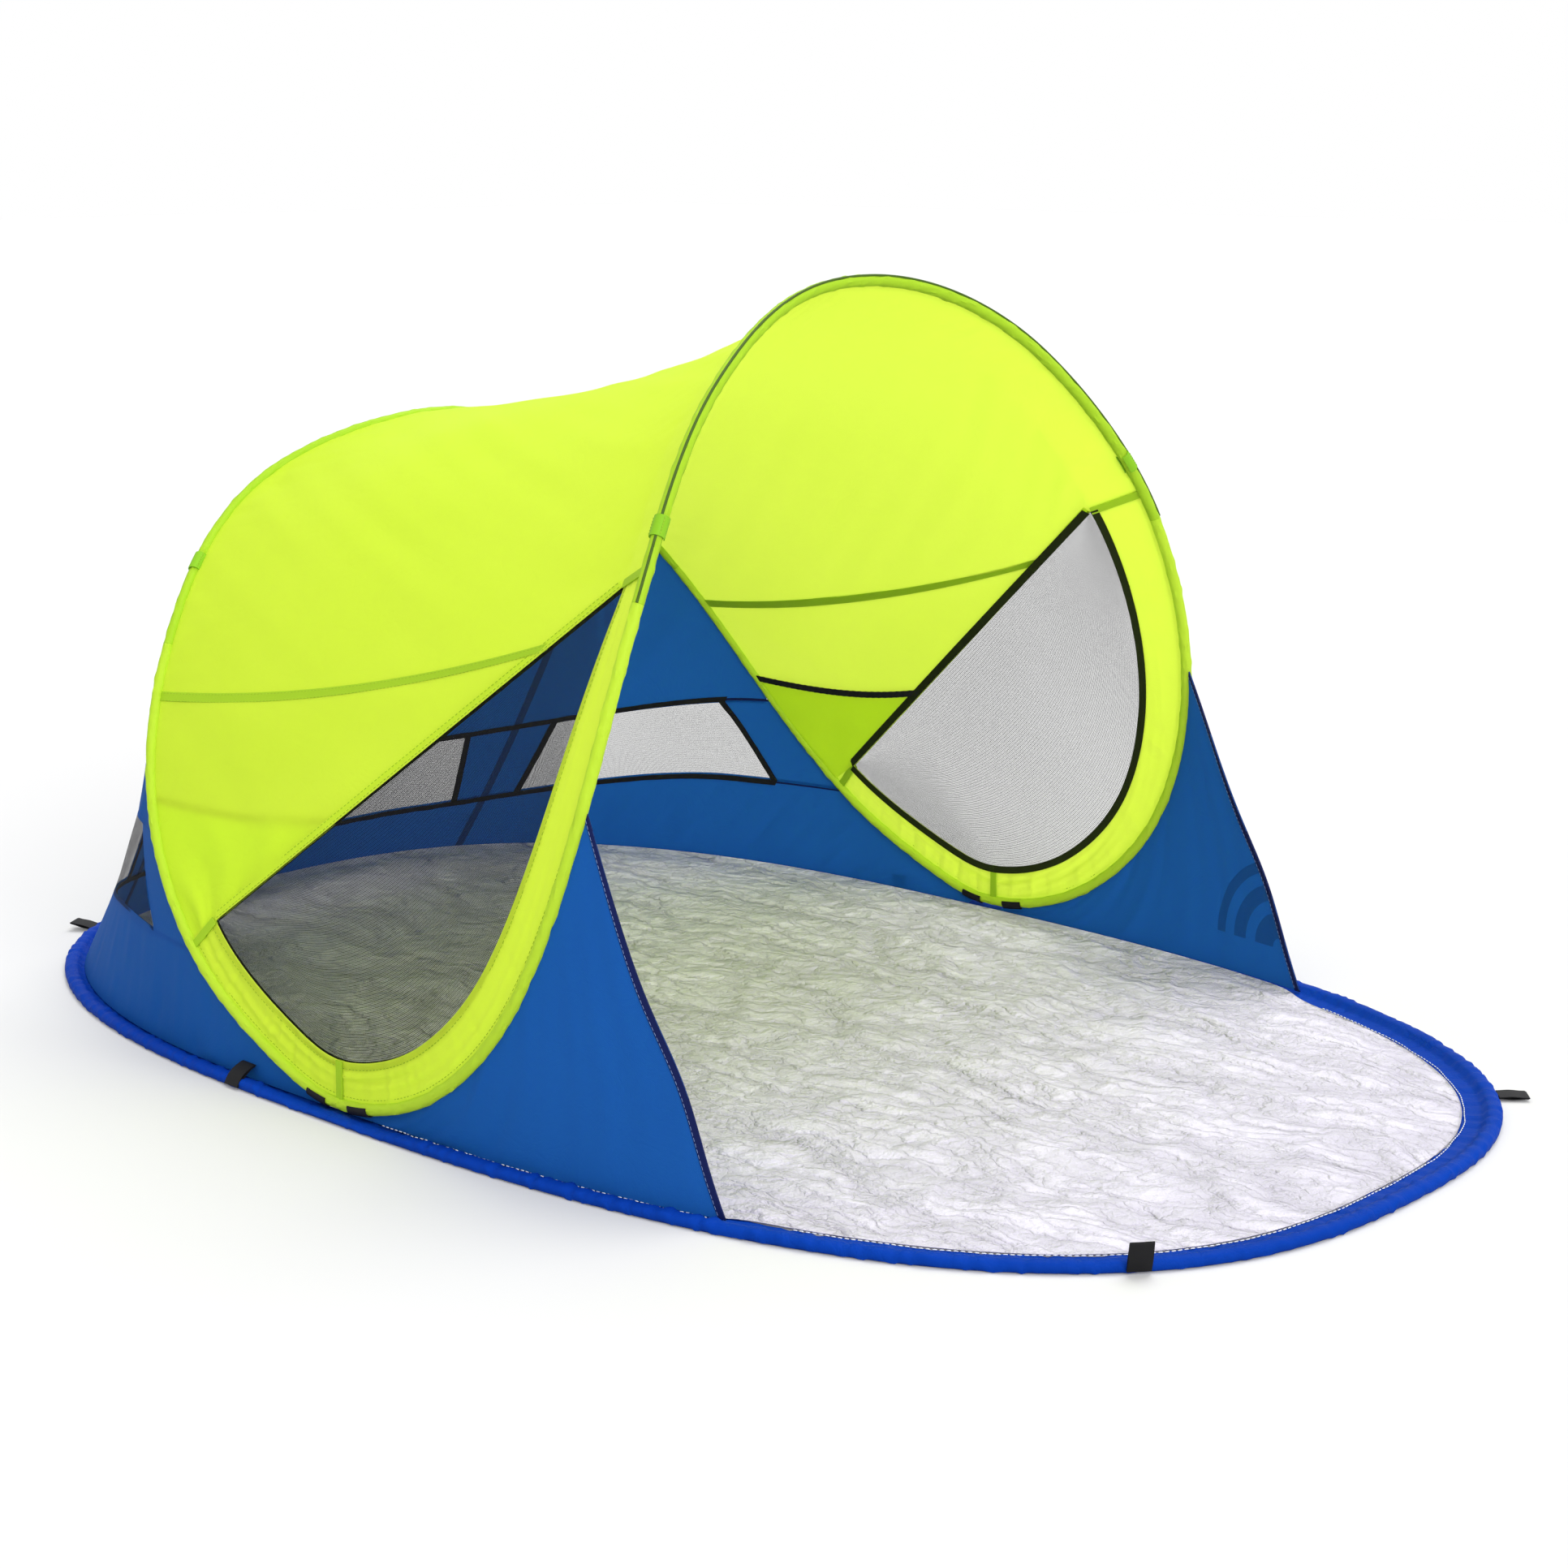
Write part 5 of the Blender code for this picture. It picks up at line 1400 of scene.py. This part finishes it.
def printed_blue():
    """The wing's blue with quarter rings: three bands of distance from a point, kept inside a sector."""
    made = blue_polyester.copy()
    made.name = "blue_polyester_print"
    tree = made.node_tree
    skin = next(n for n in tree.nodes if n.type == "BSDF_PRINCIPLED")
    plain = skin.inputs["Base Color"].links[0].from_socket
    where = add_node(tree, "TexCoord").outputs["Object"]
    away = add_node(tree, "VectorMath", {0: where, 1: MOTIF_PLACE}, operation="DISTANCE").outputs["Value"]
    rings = None
    for near, far in MOTIF_RINGS:
        inner = math_node(tree, "GREATER_THAN", away, near)
        ring = math_node(tree, "MULTIPLY", inner, math_node(tree, "LESS_THAN", away, far))
        rings = math_node(tree, "ADD", rings, ring) if rings else ring
    apart = add_node(tree, "SeparateXYZ", {0: where})
    above = math_node(tree, "GREATER_THAN", apart.outputs["Z"], MOTIF_PLACE[2])
    behind = math_node(tree, "LESS_THAN", apart.outputs["X"], MOTIF_PLACE[0])
    kept = math_node(tree, "MULTIPLY", math_node(tree, "MULTIPLY", rings, above), behind)
    tree.links.new(mixed_colour(tree, kept, plain, linear("#0F3A78")), skin.inputs["Base Color"])
    return made


def make_wings():
    """Front wings, their bindings and the stitches beside them."""
    leg, hem = wing_lines()
    steps, rows = np.linspace(0, 1, 90), np.linspace(0, 1, 60)[:, None]
    grid = wing_grid(polyline_length(leg) * steps, polyline_length(hem) * steps, 60)
    forward = unit(grid[30, 0] - grid[30, 1])
    bulge = 0.012 * np.exp(-((rows - 0.68) / 0.20) ** 2) - 0.006 * np.sin(math.pi * rows)
    grid = grid + forward * (bulge * (1 - steps) ** 2)[..., None]
    u, v = grid_lengths(grid)
    lift = 0.0022 * waves(u, v, 0.3, 91) + 0.0016 * folds(u, v, 1.2, 0.4, 0.06, 92)
    grid = held_cloth(grid, lift, 0.06, "tb")
    edge = np.stack([grid[:, 0], grid[:, 0] + unit(grid[:, 1] - grid[:, 0]) * 0.008], 1)
    for (label, mirror), finish in zip(SIDES, (printed_blue(), blue_polyester)):
        piece = cloth(f"wing_cloth_{label}", mirrored(grid, mirror), finish)
        settle(piece, WING_BEND, "blue_polyester", f"wing_{label}")
        cut_from(piece, grid)
        piece = cloth(f"wing_binding_tape_{label}", mirrored(edge, mirror), navy_tape, 0.0022)
        settle(piece, WING_BEND, "navy_tape", f"wing_binding_{label}")
        for k, lift in enumerate((0.0013, -0.0013)):
            line = outward(edge, lift)[:, 1] * 0.85 + outward(edge, lift)[:, 0] * 0.15
            normal = (outward(edge, 0.01) - edge)[:, 1] * np.sign(lift)
            sew(f"wing_stitches_{label}_{k}", line, normal, mirror, pale_thread, WING_BEND, "navy_tape",
                0.006, 0.0048, 0.0006)


make_wings()

# %% [markdown]
# ## Peg loops
# Six loops of black webbing stick out round the hem for pegs. Each is a strip that goes out
# and comes back, sewn shut beside the hem, and each lies or stands as it happened to fall. The
# steep ones at the middle droop back over the hem.

# %% Peg loops
# Each loop has its place in steps round the hem, from the front, and the degrees it is raised.
LOOPS = {"front_left": (3, 0), "front_right": (-3, 75), "middle_left": (15.3, 120),
         "middle_right": (-15.3, 120), "rear_left": (23, 0), "rear_right": (-23, 12)}
LOOP_LENGTH, LOOP_WIDTH, LOOP_STEPS = 0.0345, 0.025, 26
STEEP, DROOP = 100, 45
LOOP_PROFILE = np.array([[0.00045, -1], [0.00055, -0.9], [0.00055, 0.9], [0.00045, 1],
                         [-0.00045, 1], [-0.00055, 0.9], [-0.00055, -0.9], [-0.00045, -1]])


def make_loop(name, steps, raised):
    """Webbing strip along a long thin drop shape, turned up about the hem's edge."""
    turn = np.array(math.pi * steps / LOOP_STEPS)
    edge, outward_way = ring_point(turn, np.array(-0.0019), HEM_THICKNESS / 2)

    def facing(angle):
        """Directions at this angle above the outward way."""
        return outward_way * np.cos(angle)[:, None] + np.array([0, 0, 1]) * np.sin(angle)[:, None]

    s = np.linspace(-1, 1, 61)
    length = LOOP_LENGTH * (1 - np.abs(s)) - 0.0005
    gap = np.sign(s) * (0.0007 + 0.0009 * np.sin(math.pi * np.clip((1 - np.abs(s)) * 1.15, 0, 1)) ** 2)
    gap = gap * np.clip(np.abs(s) / 0.06, 0, 1)
    droop = math.radians(DROOP if raised > STEEP else 0) * length / LOOP_LENGTH
    tilt = math.radians(raised) + droop
    up = facing(tilt + math.pi / 2)
    centre = edge + length[:, None] * facing(tilt - droop / 2) + gap[:, None] * up
    wide = np.cross(up, facing(tilt)) * LOOP_WIDTH / 2
    normal = np.cross(unit(wide), unit(np.gradient(centre, axis=0)))
    piece = tube(f"{name}_webbing_loop", swept(centre, normal, wide, LOOP_PROFILE), black_webbing)
    settle(piece, f"loop_{name}", "black_webbing", f"peg_loop_{name}")


for name, (steps, raised) in LOOPS.items():
    make_loop(name, steps, raised)
